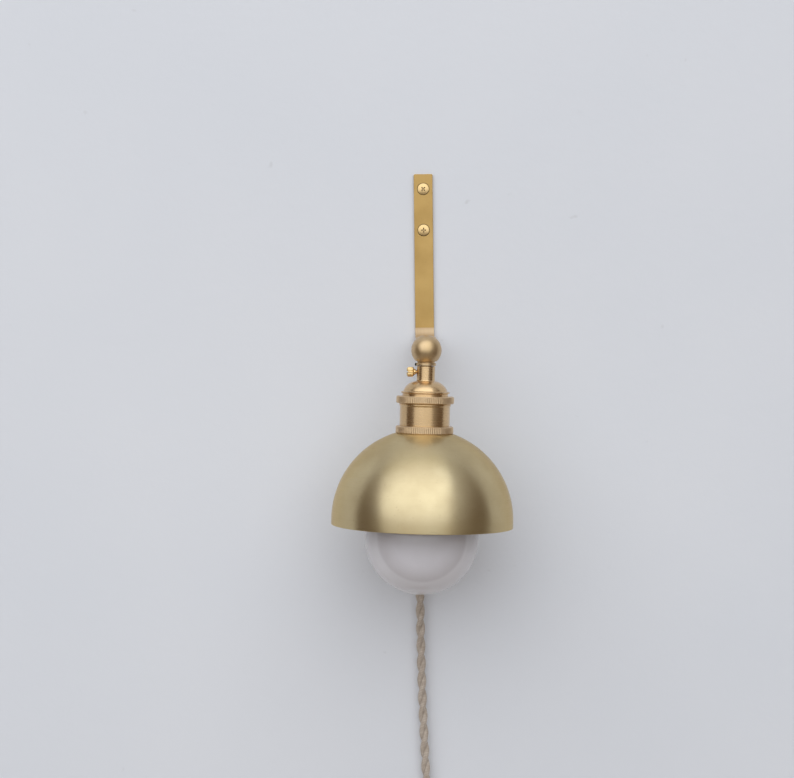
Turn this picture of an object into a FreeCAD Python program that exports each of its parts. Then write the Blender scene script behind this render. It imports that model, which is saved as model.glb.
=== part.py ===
"""Hanging pendant wall sconce: a bent flat bar carries a brass ball, a lamp holder, a shade and a bulb.

Millimetres, +Z up. The wall is the plane y = 0, and the lamp hangs in front of it, towards -Y.
The origin is on the wall, midway between the two wall screws.
"""
import FreeCAD, Part
import math
import os

import Sketcher

doc = FreeCAD.newDocument("pendant_wall_sconce")
sheet = doc.addObject("Spreadsheet::Sheet", "Sizes")

# Driving sizes in millimetres, and angles in degrees. "drop" is a depth below the origin or the ball.
SIZES = {
    # flat bar on the wall
    "bar_width": 16.5, "bar_thick": 3.0, "bar_top": 31.0, "arm_drop": 111.4,
    "wall_bend": 8.0, "tab_bend": 1.5, "tab_reach": 8.0, "tab_corner": 4.0, "bar_corner": 1.2,
    # wall screws
    "screw_pitch": 36.0, "screw_shank": 2.1, "screw_head": 5.0, "screw_dome": 1.2,
    "screw_reach": 30.0, "screw_point": 7.0, "recess_span": 5.6, "recess_width": 1.1, "recess_deep": 1.7,
    # where the lamp hangs
    "lamp_out": 94.0, "ball_drop": 122.4, "lamp_lean": 2.0,
    # ball, nipple and what clamps them to the tab
    "ball_radius": 12.7, "ball_cavity": 8.6, "ball_seat": 11.2, "collar_radius": 8.3,
    "collar_top": 10.3, "collar_foot": 12.9, "thread_radius": 4.85, "thread_gap": 0.05,
    "tube_bore": 3.6, "washer_thick": 0.8, "washer_radius": 6.6, "lock_thick": 1.0,
    "nut_flats": 13.0, "nut_thick": 3.5, "nipple_inner": 7.6, "nipple_tail": 8.0,
    "grip_length": 18.0, "grip_wide": 7.0, "grip_narrow": 4.9, "grip_bore": 2.9,
    "grub_radius": 1.2, "grub_tip": 9.3,
    # lamp holder, from the ball down
    "seam": 0.4, "neck_radius": 7.6, "neck_length": 12.4, "stem_length": 9.4,
    "dome_radius": 18.4, "dome_height": 8.4, "dome_curve": 12.6, "cap_wall": 1.5,
    "lip_radius": 20.3, "lip_height": 1.6, "groove_radius": 19.0, "groove_height": 2.6,
    "skirt_radius": 19.4, "skirt_length": 13.4, "ring_radius": 24.0, "cap_ring_height": 6.0,
    "ring_chamfer": 0.7, "knurl_count": 60, "knurl_deep": 0.45,
    "bead_radius": 21.5, "bead_height": 2.4, "shell_radius": 20.9, "shell_length": 18.8,
    "shell_thread": 20.2, "shell_bore": 18.8, "shell_tail": 26.5, "shell_lip": 16.6,
    "shade_ring_height": 6.2, "inner_ring_height": 5.0,
    # thumb screw
    "thumb_shank": 1.6, "thumb_drop": 5.0, "thumb_head": 4.1, "thumb_start": 10.9, "thumb_end": 16.9,
    # shade
    "shade_radius": 75.8, "shade_wall": 1.0, "shade_flat": 24.6, "shade_skirt": 5.2,
    # inside the lamp holder
    "insert_radius": 18.5, "insert_gap": 1.5, "insert_floor": 6.8, "insert_bore": 14.1,
    "shell_screw": 13.9, "shell_screw_wall": 0.4, "shell_screw_length": 24.0,
    "terminal_offset": 10.0, "terminal_radius": 2.9, "terminal_height": 2.8, "lead_radius": 1.3,
    "lead_offset": 1.45,
    # bulb
    "globe_radius": 47.5, "globe_wall": 0.9, "bulb_neck": 16.5, "neck_straight": 8.3, "bulb_fillet": 20.0,
    "cap_radius": 13.1, "cap_skin": 0.4, "tongue_height": 5.5, "tip_height": 6.0, "cap_length": 19.7,
    "stem_radius": 3.0, "post_length": 28.8, "filament_radius": 0.9, "filament_length": 46.0,
    # cord and plug
    "cord_radius": 4.0, "coil_radius": 49.6, "coil_pitch": 8.8, "coil_layer": 8.8,
    "coil_turns_in": 2.25, "tie_width": 9.0, "tie_thick": 1.0, "tie_room": 0.6,
    "relief_length": 24.0, "relief_wide": 7.2, "plug_length": 32.0, "plug_half_width": 13.5,
    "plug_half_thick": 10.0, "blade_width": 6.35, "blade_thick": 1.5, "blade_length": 17.5,
    "blade_gap": 12.7,
}
for row, (alias, number) in enumerate(SIZES.items(), start=1):
    sheet.set(f"A{row}", alias)
    sheet.set(f"B{row}", str(number))
    sheet.setAlias(f"B{row}", alias)
doc.recompute()


class Size:
    """A size with its value now and the sheet expression that gives it."""

    def __init__(self, value, text):
        self.value = float(value)
        self.text = text

    def __add__(self, other):
        return joined(self, "+", other, self.value + plain(other))

    def __radd__(self, other):
        return joined(other, "+", self, plain(other) + self.value)

    def __sub__(self, other):
        return joined(self, "-", other, self.value - plain(other))

    def __rsub__(self, other):
        return joined(other, "-", self, plain(other) - self.value)

    def __mul__(self, other):
        return joined(self, "*", other, self.value * plain(other))

    def __truediv__(self, other):
        return joined(self, "/", other, self.value / plain(other))

    def __neg__(self):
        return Size(-self.value, f"(0 - {self.text})")


def plain(size):
    return size.value if isinstance(size, Size) else float(size)


def text_of(size):
    return size.text if isinstance(size, Size) else repr(float(size))


def joined(left, sign, right, value):
    return Size(value, f"({text_of(left)} {sign} {text_of(right)})")


def root(square):
    return Size(math.sqrt(square.value), f"sqrt({square.text})")


def sine(degrees):
    return Size(math.sin(math.radians(degrees.value)), f"sin({degrees.text} * 1 deg)")


def cosine(degrees):
    return Size(math.cos(math.radians(degrees.value)), f"cos({degrees.text} * 1 deg)")


def cell(alias):
    return Size(sheet.get(alias), f"Sizes.{alias}")


# ---------------------------------------------------------------- sketches and features


def origin_plane(body, role):
    return next(f for f in body.Origin.OriginFeatures if f.Role == role)


def arc_geometry(start, end, radius):
    """The short arc from start to end. It turns left for a positive radius and right for a negative one."""
    chord = end - start
    side = FreeCAD.Vector(-chord.y, chord.x, 0).normalize()
    height = math.sqrt(max(radius * radius - chord.Length**2 / 4, 0))
    centre = (start + end) * 0.5 + side * math.copysign(height, radius)
    first, last = (start, end) if radius > 0 else (end, start)
    a0 = math.atan2(first.y - centre.y, first.x - centre.x)
    a1 = math.atan2(last.y - centre.y, last.x - centre.x)
    if a1 < a0:
        a1 += 2 * math.pi
    circle = Part.Circle(centre, FreeCAD.Vector(0, 0, 1), abs(radius))
    return Part.ArcOfCircle(circle, a0, a1)


def pin_point(sketch, geometry, point, axis, size, name):
    """Fixes one coordinate of a sketch point to a size of the sheet."""
    value = plain(size)
    if abs(value) < 1e-9:
        own_axis = -2 if axis == "X" else -1
        sketch.addConstraint(Sketcher.Constraint("PointOnObject", geometry, point, own_axis))
        return
    if value > 0:
        link = Sketcher.Constraint(f"Distance{axis}", -1, 1, geometry, point, value)
        text = text_of(size)
    else:
        link = Sketcher.Constraint(f"Distance{axis}", geometry, point, -1, 1, -value)
        text = f"0 - {text_of(size)}"
    index = sketch.addConstraint(link)
    if isinstance(size, Size):
        sketch.renameConstraint(index, name)
        sketch.setExpression(f"Constraints.{name}", text)


def outline(body, name, plane, corners, offset=None):
    """A closed sketch on one of the body's own planes.

    Each corner is (across, up), or (across, up, radius) where an arc of that radius arrives at it.
    A negative radius turns right.
    """
    sketch = body.newObject("Sketcher::SketchObject", name)
    sketch.AttachmentSupport = [(origin_plane(body, plane), "")]
    sketch.MapMode = "FlatFace"
    if offset is not None:
        sketch.setExpression("AttachmentOffset.Base.z", text_of(offset))
    points = [FreeCAD.Vector(plain(c[0]), plain(c[1]), 0) for c in corners]
    ends = []
    for i, corner in enumerate(corners):
        start, end = points[i - 1], points[i]
        if len(corner) == 3:
            radius = corner[2]
            index = sketch.addGeometry(arc_geometry(start, end, plain(radius)))
            turns_left = plain(radius) > 0
            ends.append((index, 1, 2) if turns_left else (index, 2, 1))
            at = sketch.addConstraint(Sketcher.Constraint("Radius", index, abs(plain(radius))))
            if isinstance(radius, Size):
                sketch.renameConstraint(at, f"arc{i}")
                size = radius if turns_left else -radius
                sketch.setExpression(f"Constraints.arc{i}", size.text)
        else:
            index = sketch.addGeometry(Part.LineSegment(start, end))
            ends.append((index, 1, 2))
    for i, corner in enumerate(corners):
        here, after = ends[i], ends[(i + 1) % len(ends)]
        sketch.addConstraint(Sketcher.Constraint("Coincident", here[0], here[2], after[0], after[1]))
        pin_point(sketch, here[0], here[2], "X", corner[0], f"across{i}")
        pin_point(sketch, here[0], here[2], "Y", corner[1], f"up{i}")
    return sketch


def new_body(label):
    body = doc.addObject("PartDesign::Body", label)
    body.Label = label
    body.AllowCompound = True
    return body


def add_turned(body, name, corners, cut=False):
    """Turns a half section, given as (radius, height), about the body's own Z axis."""
    sketch = outline(body, name + "_section", "XZ_Plane", corners)
    feature = body.newObject("PartDesign::Groove" if cut else "PartDesign::Revolution", name)
    feature.Profile = sketch
    feature.ReferenceAxis = (sketch, ["V_Axis"])
    feature.Angle = 360
    return feature


def circle_sketch(body, name, plane, across, up, radius, offset=None):
    sketch = body.newObject("Sketcher::SketchObject", name)
    sketch.AttachmentSupport = [(origin_plane(body, plane), "")]
    sketch.MapMode = "FlatFace"
    if offset is not None:
        sketch.setExpression("AttachmentOffset.Base.z", text_of(offset))
    centre = FreeCAD.Vector(plain(across), plain(up), 0)
    index = sketch.addGeometry(Part.Circle(centre, FreeCAD.Vector(0, 0, 1), plain(radius)))
    at = sketch.addConstraint(Sketcher.Constraint("Radius", index, plain(radius)))
    sketch.renameConstraint(at, "radius")
    sketch.setExpression("Constraints.radius", text_of(radius))
    pin_point(sketch, index, 3, "X", across, "across")
    pin_point(sketch, index, 3, "Y", up, "up")
    return sketch


def add_pocket(body, name, sketch, depth, reverse=False):
    pocket = body.newObject("PartDesign::Pocket", name)
    pocket.Profile = sketch
    pocket.Reversed = reverse
    pocket.setExpression("Length", text_of(depth))
    return pocket


def seat(item, across, out, up, axis=(0, 1, 0), angle=0.0):
    """Places a sub-part by its own origin, turned about an axis."""
    item.Placement = FreeCAD.Placement(
        FreeCAD.Vector(plain(across), plain(out), plain(up)),
        FreeCAD.Rotation(FreeCAD.Vector(*axis), plain(angle)),
    )
    for path, size in (("Base.x", across), ("Base.y", out), ("Base.z", up), ("Rotation.Angle", angle)):
        if isinstance(size, Size):
            item.setExpression(f"Placement.{path}", size.text)
    return item


LEAN = cell("lamp_lean")
LAMP_Y = -cell("lamp_out")
BALL_Z = -cell("ball_drop")


def hang(item, below=0.0, turn=0.0):
    """Hangs a sub-part on the lamp's own leaning axis, at a depth below the ball's centre."""
    across = -(sine(LEAN) * below) if below else 0.0
    up = BALL_Z - cosine(LEAN) * below if below else BALL_Z
    return seat(item, across, LAMP_Y, up, (0, 1, 0), LEAN + turn)


def turned(label, corners):
    body = new_body(label)
    add_turned(body, "turned", corners)
    return body


def lamp_turned(label, rings):
    """A turned piece of the lamp, from (radius, depth below the ball) corners."""
    corners = [(c[0], -c[1] if isinstance(c[1], Size) else -float(c[1]), *c[2:]) for c in rings]
    return hang(turned(label, corners))


def toward_wall(item, out=LAMP_Y, up=BALL_Z):
    """Turns a sub-part so that its own Z axis points at the wall."""
    return seat(item, 0.0, out, up, (1, 0, 0), -90.0)


# ---------------------------------------------------------------- the flat bar and its screws

THICK = cell("bar_thick")
GAP = cell("thread_gap")
SEAT_FACE = cell("ball_seat") + cell("washer_thick")
TAB_BACK = cell("lamp_out") - SEAT_FACE - THICK


def wall_bracket():
    """Flat bar bent forward at the foot of its wall leg, then down into a short tab behind the ball."""
    body = new_body("wall_bracket")
    arm, wall, tab = cell("arm_drop"), cell("wall_bend"), cell("tab_bend")
    foot = cell("ball_drop") + cell("tab_reach")
    side = outline(body, "bent_strip", "YZ_Plane", [
        (-THICK, cell("bar_top")),
        (-THICK, wall - arm),
        (-THICK - wall, -arm, -wall),
        (tab - TAB_BACK, -arm),
        (-TAB_BACK - THICK, -arm - THICK - tab, tab + THICK),
        (-TAB_BACK - THICK, -foot),
        (-TAB_BACK, -foot),
        (-TAB_BACK, -arm - THICK - tab),
        (tab - TAB_BACK, -arm - THICK, -tab),
        (-THICK - wall, -arm - THICK),
        (0.0, wall - arm, wall + THICK),
        (0.0, cell("bar_top")),
    ])
    pad = body.newObject("PartDesign::Pad", "strip")
    pad.Profile = side
    pad.Midplane = True
    pad.setExpression("Length", "Sizes.bar_width")
    tab_hole = circle_sketch(body, "tab_hole_place", "XZ_Plane", 0.0, BALL_Z,
                             cell("thread_radius") + GAP, TAB_BACK - 1.0)
    add_pocket(body, "tab_hole", tab_hole, THICK + 3.0, reverse=True)
    doc.recompute()
    holes = body.newObject("Sketcher::SketchObject", "screw_places")
    holes.AttachmentSupport = [(origin_plane(body, "XZ_Plane"), "")]
    holes.MapMode = "FlatFace"
    holes.setExpression("AttachmentOffset.Base.z", THICK.text)
    for side_of_middle in (1, -1):
        centre = FreeCAD.Vector(0, side_of_middle * cell("screw_pitch").value / 2, 0)
        index = holes.addGeometry(Part.Circle(centre, FreeCAD.Vector(0, 0, 1), cell("screw_shank").value))
        place = cell("screw_pitch") / 2 if side_of_middle > 0 else -(cell("screw_pitch") / 2)
        name = "upper" if side_of_middle > 0 else "lower"
        pin_point(holes, index, 3, "X", 0.0, name + "_across")
        pin_point(holes, index, 3, "Y", place, name + "_up")
        at = holes.addConstraint(Sketcher.Constraint("Radius", index, cell("screw_shank").value))
        holes.renameConstraint(at, name + "_radius")
        holes.setExpression(f"Constraints.{name}_radius", cell("screw_shank").text)
    doc.recompute()
    hole = body.newObject("PartDesign::Hole", "screw_holes")
    hole.Profile = holes
    doc.recompute()
    hole.DepthType = "ThroughAll"
    hole.ThreadType = "None"
    hole.HoleCutType = "Countersink"
    hole.HoleCutCustomValues = True
    hole.setExpression("Diameter", (cell("screw_shank") * 2 + GAP * 4).text)
    hole.setExpression("HoleCutDiameter", (cell("screw_head") * 2 + GAP * 2).text)
    hole.HoleCutCountersinkAngle = 90
    doc.recompute()
    round_corners(body, "tab_corners", cell("tab_corner"), lambda p: p.z < -foot.value + 0.01)
    round_corners(body, "bar_corners", cell("bar_corner"), lambda p: p.z > cell("bar_top").value - 0.01)
    return body


def round_corners(body, name, radius, chosen):
    """Rounds the straight edges that run through the bar's thickness and whose middle is chosen."""
    edges = []
    for number, edge in enumerate(body.Tip.Shape.Edges, start=1):
        first, last = edge.Vertexes[0].Point, edge.Vertexes[-1].Point
        along_y = abs(first.x - last.x) < 1e-6 and abs(first.z - last.z) < 1e-6
        if along_y and len(edge.Vertexes) == 2 and chosen((first + last) * 0.5):
            edges.append(f"Edge{number}")
    base = body.Tip
    fillet = body.newObject("PartDesign::Fillet", name)
    fillet.Base = (base, edges)
    fillet.setExpression("Radius", radius.text)
    doc.recompute()
    return fillet


def wall_screw(name, up, recess_turn):
    """Raised countersunk wood screw with a cross recess. Its own Z axis points into the wall."""
    body = new_body(name)
    head, shank, dome = cell("screw_head"), cell("screw_shank"), cell("screw_dome")
    end = THICK + cell("screw_reach")
    crown = (head * head + dome * dome) / (dome * 2)
    add_turned(body, "turned", [
        (0.0, -dome),
        (0.0, end),
        (0.3, end),
        (shank, end - cell("screw_point")),
        (shank, head - shank),
        (head, 0.0),
        (0.0, -dome, -crown),
    ][1:])
    half, wide = cell("recess_span") / 2, cell("recess_width") / 2
    arms = [(wide, half), (wide, wide), (half, wide), (half, -wide), (wide, -wide), (wide, -half),
            (-wide, -half), (-wide, -wide), (-half, -wide), (-half, wide), (-wide, wide), (-wide, half)]
    cross = outline(body, "recess_shape", "XY_Plane", arms, -dome)
    add_pocket(body, "recess", cross, cell("recess_deep"), reverse=True)
    body.Placement = FreeCAD.Placement(
        FreeCAD.Vector(0, -THICK.value, plain(up)),
        FreeCAD.Rotation(FreeCAD.Vector(1, 0, 0), -90) * FreeCAD.Rotation(FreeCAD.Vector(0, 0, 1), recess_turn),
    )
    body.setExpression("Placement.Base.y", (-THICK).text)
    body.setExpression("Placement.Base.z", up.text)
    return body


def group(label, members):
    """Several like solids in one sub-part."""
    compound = doc.addObject("Part::Compound", label)
    compound.Label = label
    compound.Links = members
    return compound


# ---------------------------------------------------------------- ball, nipple and clamp


def swivel_ball():
    """Hollow turned ball with a cove and a collar, bored for the stem below and for the nipple behind."""
    body = new_body("swivel_ball")
    ball, top, foot = cell("ball_radius"), cell("collar_top"), cell("collar_foot")
    neck = cell("collar_radius") - 1.1
    meet = top - 1.2
    add_turned(body, "ball", [
        (0.0, -foot),
        (cell("collar_radius"), -foot),
        (cell("collar_radius"), -top - 0.9),
        (neck, -top, 1.6),
        (root(ball * ball - meet * meet), -meet, -1.3),
        (0.0, ball, ball),
    ])
    cavity = cell("ball_cavity")
    bore = cell("thread_radius") + GAP
    floor = root(cavity * cavity - bore * bore)
    add_turned(body, "cavity", [
        (0.0, -foot - 1.0),
        (bore, -foot - 1.0),
        (bore, -floor),
        (0.0, cavity, cavity),
    ], cut=True)
    doc.recompute()
    side_bore = circle_sketch(body, "side_bore_place", "XZ_Plane", 0.0, 0.0, bore)
    add_pocket(body, "side_bore", side_bore, ball + 1.0)
    doc.recompute()
    width = ball * 2 + 2.0
    flat = outline(body, "seat_shape", "XZ_Plane",
                   [(-(width / 2), -(width / 2)), (width / 2, -(width / 2)), (width / 2, width / 2),
                    (-(width / 2), width / 2)], -cell("ball_seat"))
    add_pocket(body, "seat", flat, cell("ball_radius"))
    doc.recompute()
    middle = (top + foot) / 2 + 0.35
    grub_hole = circle_sketch(body, "grub_place", "YZ_Plane", 0.0, -middle, cell("grub_radius") + GAP)
    add_pocket(body, "grub_hole", grub_hole, cell("ball_radius"))
    return hang(body)


def grub_screw():
    """Small black set screw that locks the stem in the collar."""
    radius, tip = cell("grub_radius"), cell("grub_tip")
    tail = cell("thread_radius") + 0.2
    body = turned("grub_screw", [
        (radius, tail),
        (radius, tip - 0.3),
        (radius - 0.3, tip),
        (radius * 0.5, tip),
        (radius * 0.5, tip - 1.2),
        (0.0, tip - 1.2),
        (0.0, tail),
    ])
    middle = (cell("collar_top") + cell("collar_foot")) / 2 + 0.35
    return hang(body, middle, -90.0)


def threaded_tube(label, start, end):
    """Plain outline of a hollow threaded tube, along its own Z axis."""
    outer, bore = cell("thread_radius"), cell("tube_bore")
    bevel = 0.4
    return turned(label, [
        (bore, start),
        (outer - bevel, start),
        (outer, start + bevel),
        (outer, end - bevel),
        (outer - bevel, end),
        (bore, end),
    ])


NUT_START = SEAT_FACE + THICK + cell("lock_thick")
GRIP_START = NUT_START + cell("nut_thick")


def side_nipple():
    return toward_wall(threaded_tube("side_nipple", cell("nipple_inner"), GRIP_START + cell("nipple_tail")))


def stem_nipple():
    """Hollow stem screwed into the ball; the lamp holder's neck turns on its lower end."""
    top = -root(cell("ball_cavity") * cell("ball_cavity") - cell("thread_radius") * cell("thread_radius"))
    return hang(threaded_tube("stem_nipple", -cell("collar_foot") - cell("stem_length"), top - 0.2))


def washer(label, start, thick, radius):
    inner = cell("thread_radius") + GAP
    return toward_wall(turned(label, [
        (inner, start), (radius, start), (radius, start + thick), (inner, start + thick)]))


def lock_nut():
    """Hexagon nut with its corners turned off, one flat up under the arm."""
    flats, thick = cell("nut_flats"), cell("nut_thick")
    prism = doc.addObject("Part::Prism", "nut_blank")
    prism.Polygon = 6
    prism.setExpression("Circumradius", (flats / 2 / cosine(Size(30, "30"))).text)
    prism.setExpression("Height", thick.text)
    prism.Placement.Rotation = FreeCAD.Rotation(FreeCAD.Vector(0, 0, 1), 0)
    barrel = turned("nut_barrel", [
        (cell("thread_radius") + GAP, 0.0),
        (flats / 2, 0.0),
        (flats / 2 + 0.95, 0.55),
        (flats / 2 + 0.95, thick - 0.55),
        (flats / 2, thick),
        (cell("thread_radius") + GAP, thick),
    ])
    nut = doc.addObject("Part::MultiCommon", "lock_nut")
    nut.Label = "lock_nut"
    nut.Shapes = [prism, barrel]
    return toward_wall(nut, LAMP_Y + NUT_START)


def cord_grip():
    """Turned cord grip: screws on the nipple's tail and tapers to the cord."""
    start, wide, narrow = GRIP_START, cell("grip_wide"), cell("grip_narrow")
    end = start + cell("grip_length")
    socket = cell("thread_radius") + GAP
    step = start + cell("nipple_tail") + 0.2
    return toward_wall(turned("cord_grip", [
        (socket, start),
        (wide - 0.5, start),
        (wide, start + 0.5),
        (wide, start + 4.0),
        (wide - 0.8, start + 4.6),
        (narrow + 0.5, end - 2.2),
        (narrow + 0.5, end - 0.4),
        (narrow, end),
        (cell("grip_bore"), end),
        (cell("grip_bore"), step),
        (socket, step),
    ]))


# ---------------------------------------------------------------- lamp holder

NECK_TOP = cell("collar_foot") + cell("seam")
NECK_FOOT = NECK_TOP + cell("neck_length")
DOME_FOOT = NECK_FOOT + cell("dome_height")
LIP_FOOT = DOME_FOOT + cell("lip_height")
SKIRT_TOP = LIP_FOOT + cell("groove_height")
CAP_RING_FOOT = SKIRT_TOP + cell("cap_ring_height")
SHELL_TOP = CAP_RING_FOOT + GAP
SHELL_STEP = SHELL_TOP + cell("shell_length")
SHADE_SEAT = SHELL_STEP + GAP + cell("shade_ring_height") + GAP
SHADE_UNDER = SHADE_SEAT + cell("shade_wall")
SHELL_FOOT = SHELL_STEP + cell("shell_tail")
SKIRT_FOOT = SKIRT_TOP + cell("skirt_length")
THUMB_AT = NECK_TOP + cell("thumb_drop")

# Depths of the pieces inside, from the ceramic core down to the bulb's globe.
INSERT_TOP = SKIRT_FOOT + cell("insert_gap")
INSERT_FLOOR = INSERT_TOP + cell("insert_floor")
TIP_TOP = INSERT_FLOOR + cell("tongue_height")
CAP_TOP = TIP_TOP + cell("tip_height")
CAP_FOOT = CAP_TOP + cell("cap_length")
POST_FOOT = CAP_FOOT + cell("post_length")


def socket_cap():
    """Neck, domed cap, rolled lip and the threaded skirt that the lock ring and the shell screw on."""
    wall = cell("cap_wall")
    bore = cell("thread_radius") + GAP * 2
    dome, curve = cell("dome_radius"), cell("dome_curve")
    body = new_body("socket_cap")
    rings = [
        (bore, NECK_TOP),
        (bore, NECK_FOOT - 0.6),
        (bore + 1.2, NECK_FOOT + wall),
        (dome - wall - 0.2, DOME_FOOT, -(curve - wall)),
        (cell("skirt_radius") - wall, LIP_FOOT),
        (cell("skirt_radius") - wall, SKIRT_FOOT),
        (cell("skirt_radius"), SKIRT_FOOT),
        (cell("skirt_radius"), SKIRT_TOP),
        (cell("groove_radius"), SKIRT_TOP),
        (cell("groove_radius"), LIP_FOOT + 0.3),
        (cell("lip_radius"), LIP_FOOT - 0.1),
        (cell("lip_radius") - 0.1, DOME_FOOT + 0.5),
        (dome, DOME_FOOT),
        (cell("neck_radius") + 0.5, NECK_FOOT, curve),
        (cell("neck_radius"), NECK_FOOT - 0.6),
        (cell("neck_radius"), NECK_TOP + 0.4),
        (cell("neck_radius") - 0.4, NECK_TOP),
    ]
    add_turned(body, "cap", [(c[0], -c[1], *c[2:]) for c in rings])
    doc.recompute()
    place = circle_sketch(body, "thumb_hole_place", "YZ_Plane", 0.0, -THUMB_AT,
                          cell("thumb_shank") + GAP)
    add_pocket(body, "thumb_hole", place, cell("neck_radius") + 2.0)
    return hang(body)


def milled_ring(label, top, height, bore, count):
    """Threaded ring with chamfered rims and a straight milled edge."""
    body = new_body(label)
    outer, bevel = cell("ring_radius"), cell("ring_chamfer")
    rings = [
        (bore, top),
        (outer - bevel, top),
        (outer, top + bevel),
        (outer, top + height - bevel),
        (outer - bevel, top + height),
        (bore, top + height),
    ]
    add_turned(body, "ring", [(c[0], -c[1]) for c in rings])
    mill_edge(body, outer, cell("knurl_deep"), top + height + 1.0, height + 2.0, count)
    return hang(body)


def mill_edge(body, outer, deep, foot, height, count):
    """Cuts straight V grooves all round a rim, as a milling wheel does."""
    notch = outline(body, "notch", "XY_Plane",
                    [(outer - deep, 0.0), (outer + deep, -(deep * 1.6)), (outer + deep, deep * 1.6)], -foot)
    groove = add_pocket(body, "groove", notch, height, reverse=True)
    around = body.newObject("PartDesign::PolarPattern", "milled_edge")
    around.Originals = [groove]
    around.Axis = (origin_plane(body, "Z_Axis"), [""])
    around.Angle = 360
    around.setExpression("Occurrences", count.text)
    body.Tip = around
    return around


def socket_body():
    """Shell of the lamp holder: bead, smooth barrel, then the threaded tail that takes the shade rings."""
    thread, bore = cell("shell_thread"), cell("shell_bore")
    barrel, bead = cell("shell_radius"), cell("bead_radius")
    bead_foot = SHELL_TOP + cell("bead_height")
    seat_bore = cell("skirt_radius") + GAP
    return lamp_turned("socket_body", [
        (seat_bore, SHELL_TOP),
        (bead - 0.5, SHELL_TOP),
        (bead, SHELL_TOP + 0.5),
        (bead, bead_foot - 0.7),
        (barrel, bead_foot),
        (barrel, SHELL_STEP),
        (thread, SHELL_STEP),
        (thread, SHELL_FOOT - 0.5),
        (thread - 0.5, SHELL_FOOT),
        (cell("shell_lip"), SHELL_FOOT),
        (cell("shell_lip"), SHELL_FOOT - 1.4),
        (bore, SHELL_FOOT - 1.4),
        (bore, SKIRT_FOOT + 0.4),
        (seat_bore, SKIRT_FOOT + 0.4),
    ])


def thumb_screw():
    """Knurled thumb screw with a slot, screwed through the neck against the stem."""
    body = new_body("thumb_screw")
    shank, head = cell("thumb_shank"), cell("thumb_head")
    start, end = cell("thumb_start"), cell("thumb_end")
    tail = cell("thread_radius") + 0.15
    shoulder = cell("neck_radius") + 1.0
    add_turned(body, "screw", [
        (0.0, tail),
        (shank, tail),
        (shank, shoulder),
        (shank + 0.8, shoulder + 0.3),
        (shank + 0.8, start - 0.3),
        (head - 0.4, start - 0.3),
        (head, start + 0.1),
        (head, end - 0.8),
        (head - 0.8, end - 0.2),
        (0.0, end),
    ])
    mill_edge(body, head, Size(0.35, "0.35"), -(start - 1.0), end - start + 3.0, Size(18, "18"))
    doc.recompute()
    slot = outline(body, "slot_shape", "XY_Plane",
                   [(-0.5, -(head + 1.0)), (0.5, -(head + 1.0)), (0.5, head + 1.0), (-0.5, head + 1.0)],
                   end + 1.0)
    add_pocket(body, "slot", slot, Size(3.0, "3"))
    return hang(body, THUMB_AT, -90.0)


# ---------------------------------------------------------------- shade


def dome_shade():
    """Half-round spun shade with a flat seat round its hole and a short straight skirt at the rim."""
    outer, wall, flat = cell("shade_radius"), cell("shade_wall"), cell("shade_flat")
    hole = cell("shell_thread") + 0.3
    rise = root(outer * outer - flat * flat)
    middle = SHADE_SEAT + rise
    inside = outer - wall
    rim = middle + cell("shade_skirt")
    return lamp_turned("dome_shade", [
        (hole, SHADE_SEAT),
        (hole, SHADE_UNDER),
        (root(inside * inside - (rise - wall) * (rise - wall)), SHADE_UNDER),
        (inside, middle, -inside),
        (inside, rim - 0.3),
        (inside + 0.3, rim),
        (outer - 0.3, rim),
        (outer, rim - 0.3),
        (outer, middle),
        (flat, SHADE_SEAT, outer),
    ])


# ---------------------------------------------------------------- inside the lamp holder


def socket_insert():
    """Glazed ceramic core that carries the screw shell, the tongue and the terminals."""
    radius, bore, floor = cell("insert_radius"), cell("insert_bore"), INSERT_FLOOR
    return lamp_turned("socket_insert", [
        (0.0, INSERT_TOP),
        (0.0, floor),
        (bore, floor),
        (bore, SHELL_FOOT - 1.6),
        (radius, SHELL_FOOT - 1.6),
        (radius, INSERT_TOP + 0.8),
        (radius - 0.8, INSERT_TOP),
    ])


def screw_shell():
    """Thin brass shell that the bulb's cap screws into, closed by a seat with a hole for the tongue."""
    outer, wall = cell("shell_screw"), cell("shell_screw_wall")
    top = INSERT_FLOOR
    foot = top + cell("shell_screw_length")
    return lamp_turned("screw_shell", [
        (9.0, top),
        (9.0, top + wall),
        (outer - wall, top + wall),
        (outer - wall, foot),
        (outer, foot),
        (outer, top),
    ])


def centre_contact():
    """Spring tongue: a strip riveted to the ceramic floor and bent down to the bulb's tip."""
    body = new_body("centre_contact")
    floor, tip = INSERT_FLOOR, TIP_TOP
    strip = 0.5
    shape = outline(body, "tongue_side", "XZ_Plane", [
        (-7.0, -floor),
        (-7.0, -floor - strip),
        (-1.5, -floor - strip),
        (0.0, strip - tip + 0.1),
        (0.0, 0.1 - tip + 0.0),
        (4.0, 0.1 - tip + 0.0),
        (4.0, strip - tip + 0.1),
        (1.0, strip - tip + 0.1),
        (-0.9, -floor),
    ])
    pad = body.newObject("PartDesign::Pad", "tongue")
    pad.Profile = shape
    pad.Midplane = True
    pad.Length = 5.0
    return hang(body)


def terminal_screw(name, side):
    """Cheese-head terminal screw standing on the ceramic."""
    radius, top = cell("terminal_radius"), INSERT_TOP
    head = top - cell("terminal_height")
    body = turned(name, [
        (0.0, -head),
        (0.0, -top),
        (radius * 0.6, -top),
        (radius * 0.6, -(top - 0.9)),
        (radius, -(top - 0.9)),
        (radius, -head - 0.3),
        (radius - 0.3, -head),
    ])
    offset = cell("terminal_offset") * side
    return seat(body, cosine(LEAN) * offset, LAMP_Y, BALL_Z - sine(LEAN) * offset, (0, 1, 0), LEAN)


# ---------------------------------------------------------------- bulb


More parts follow.
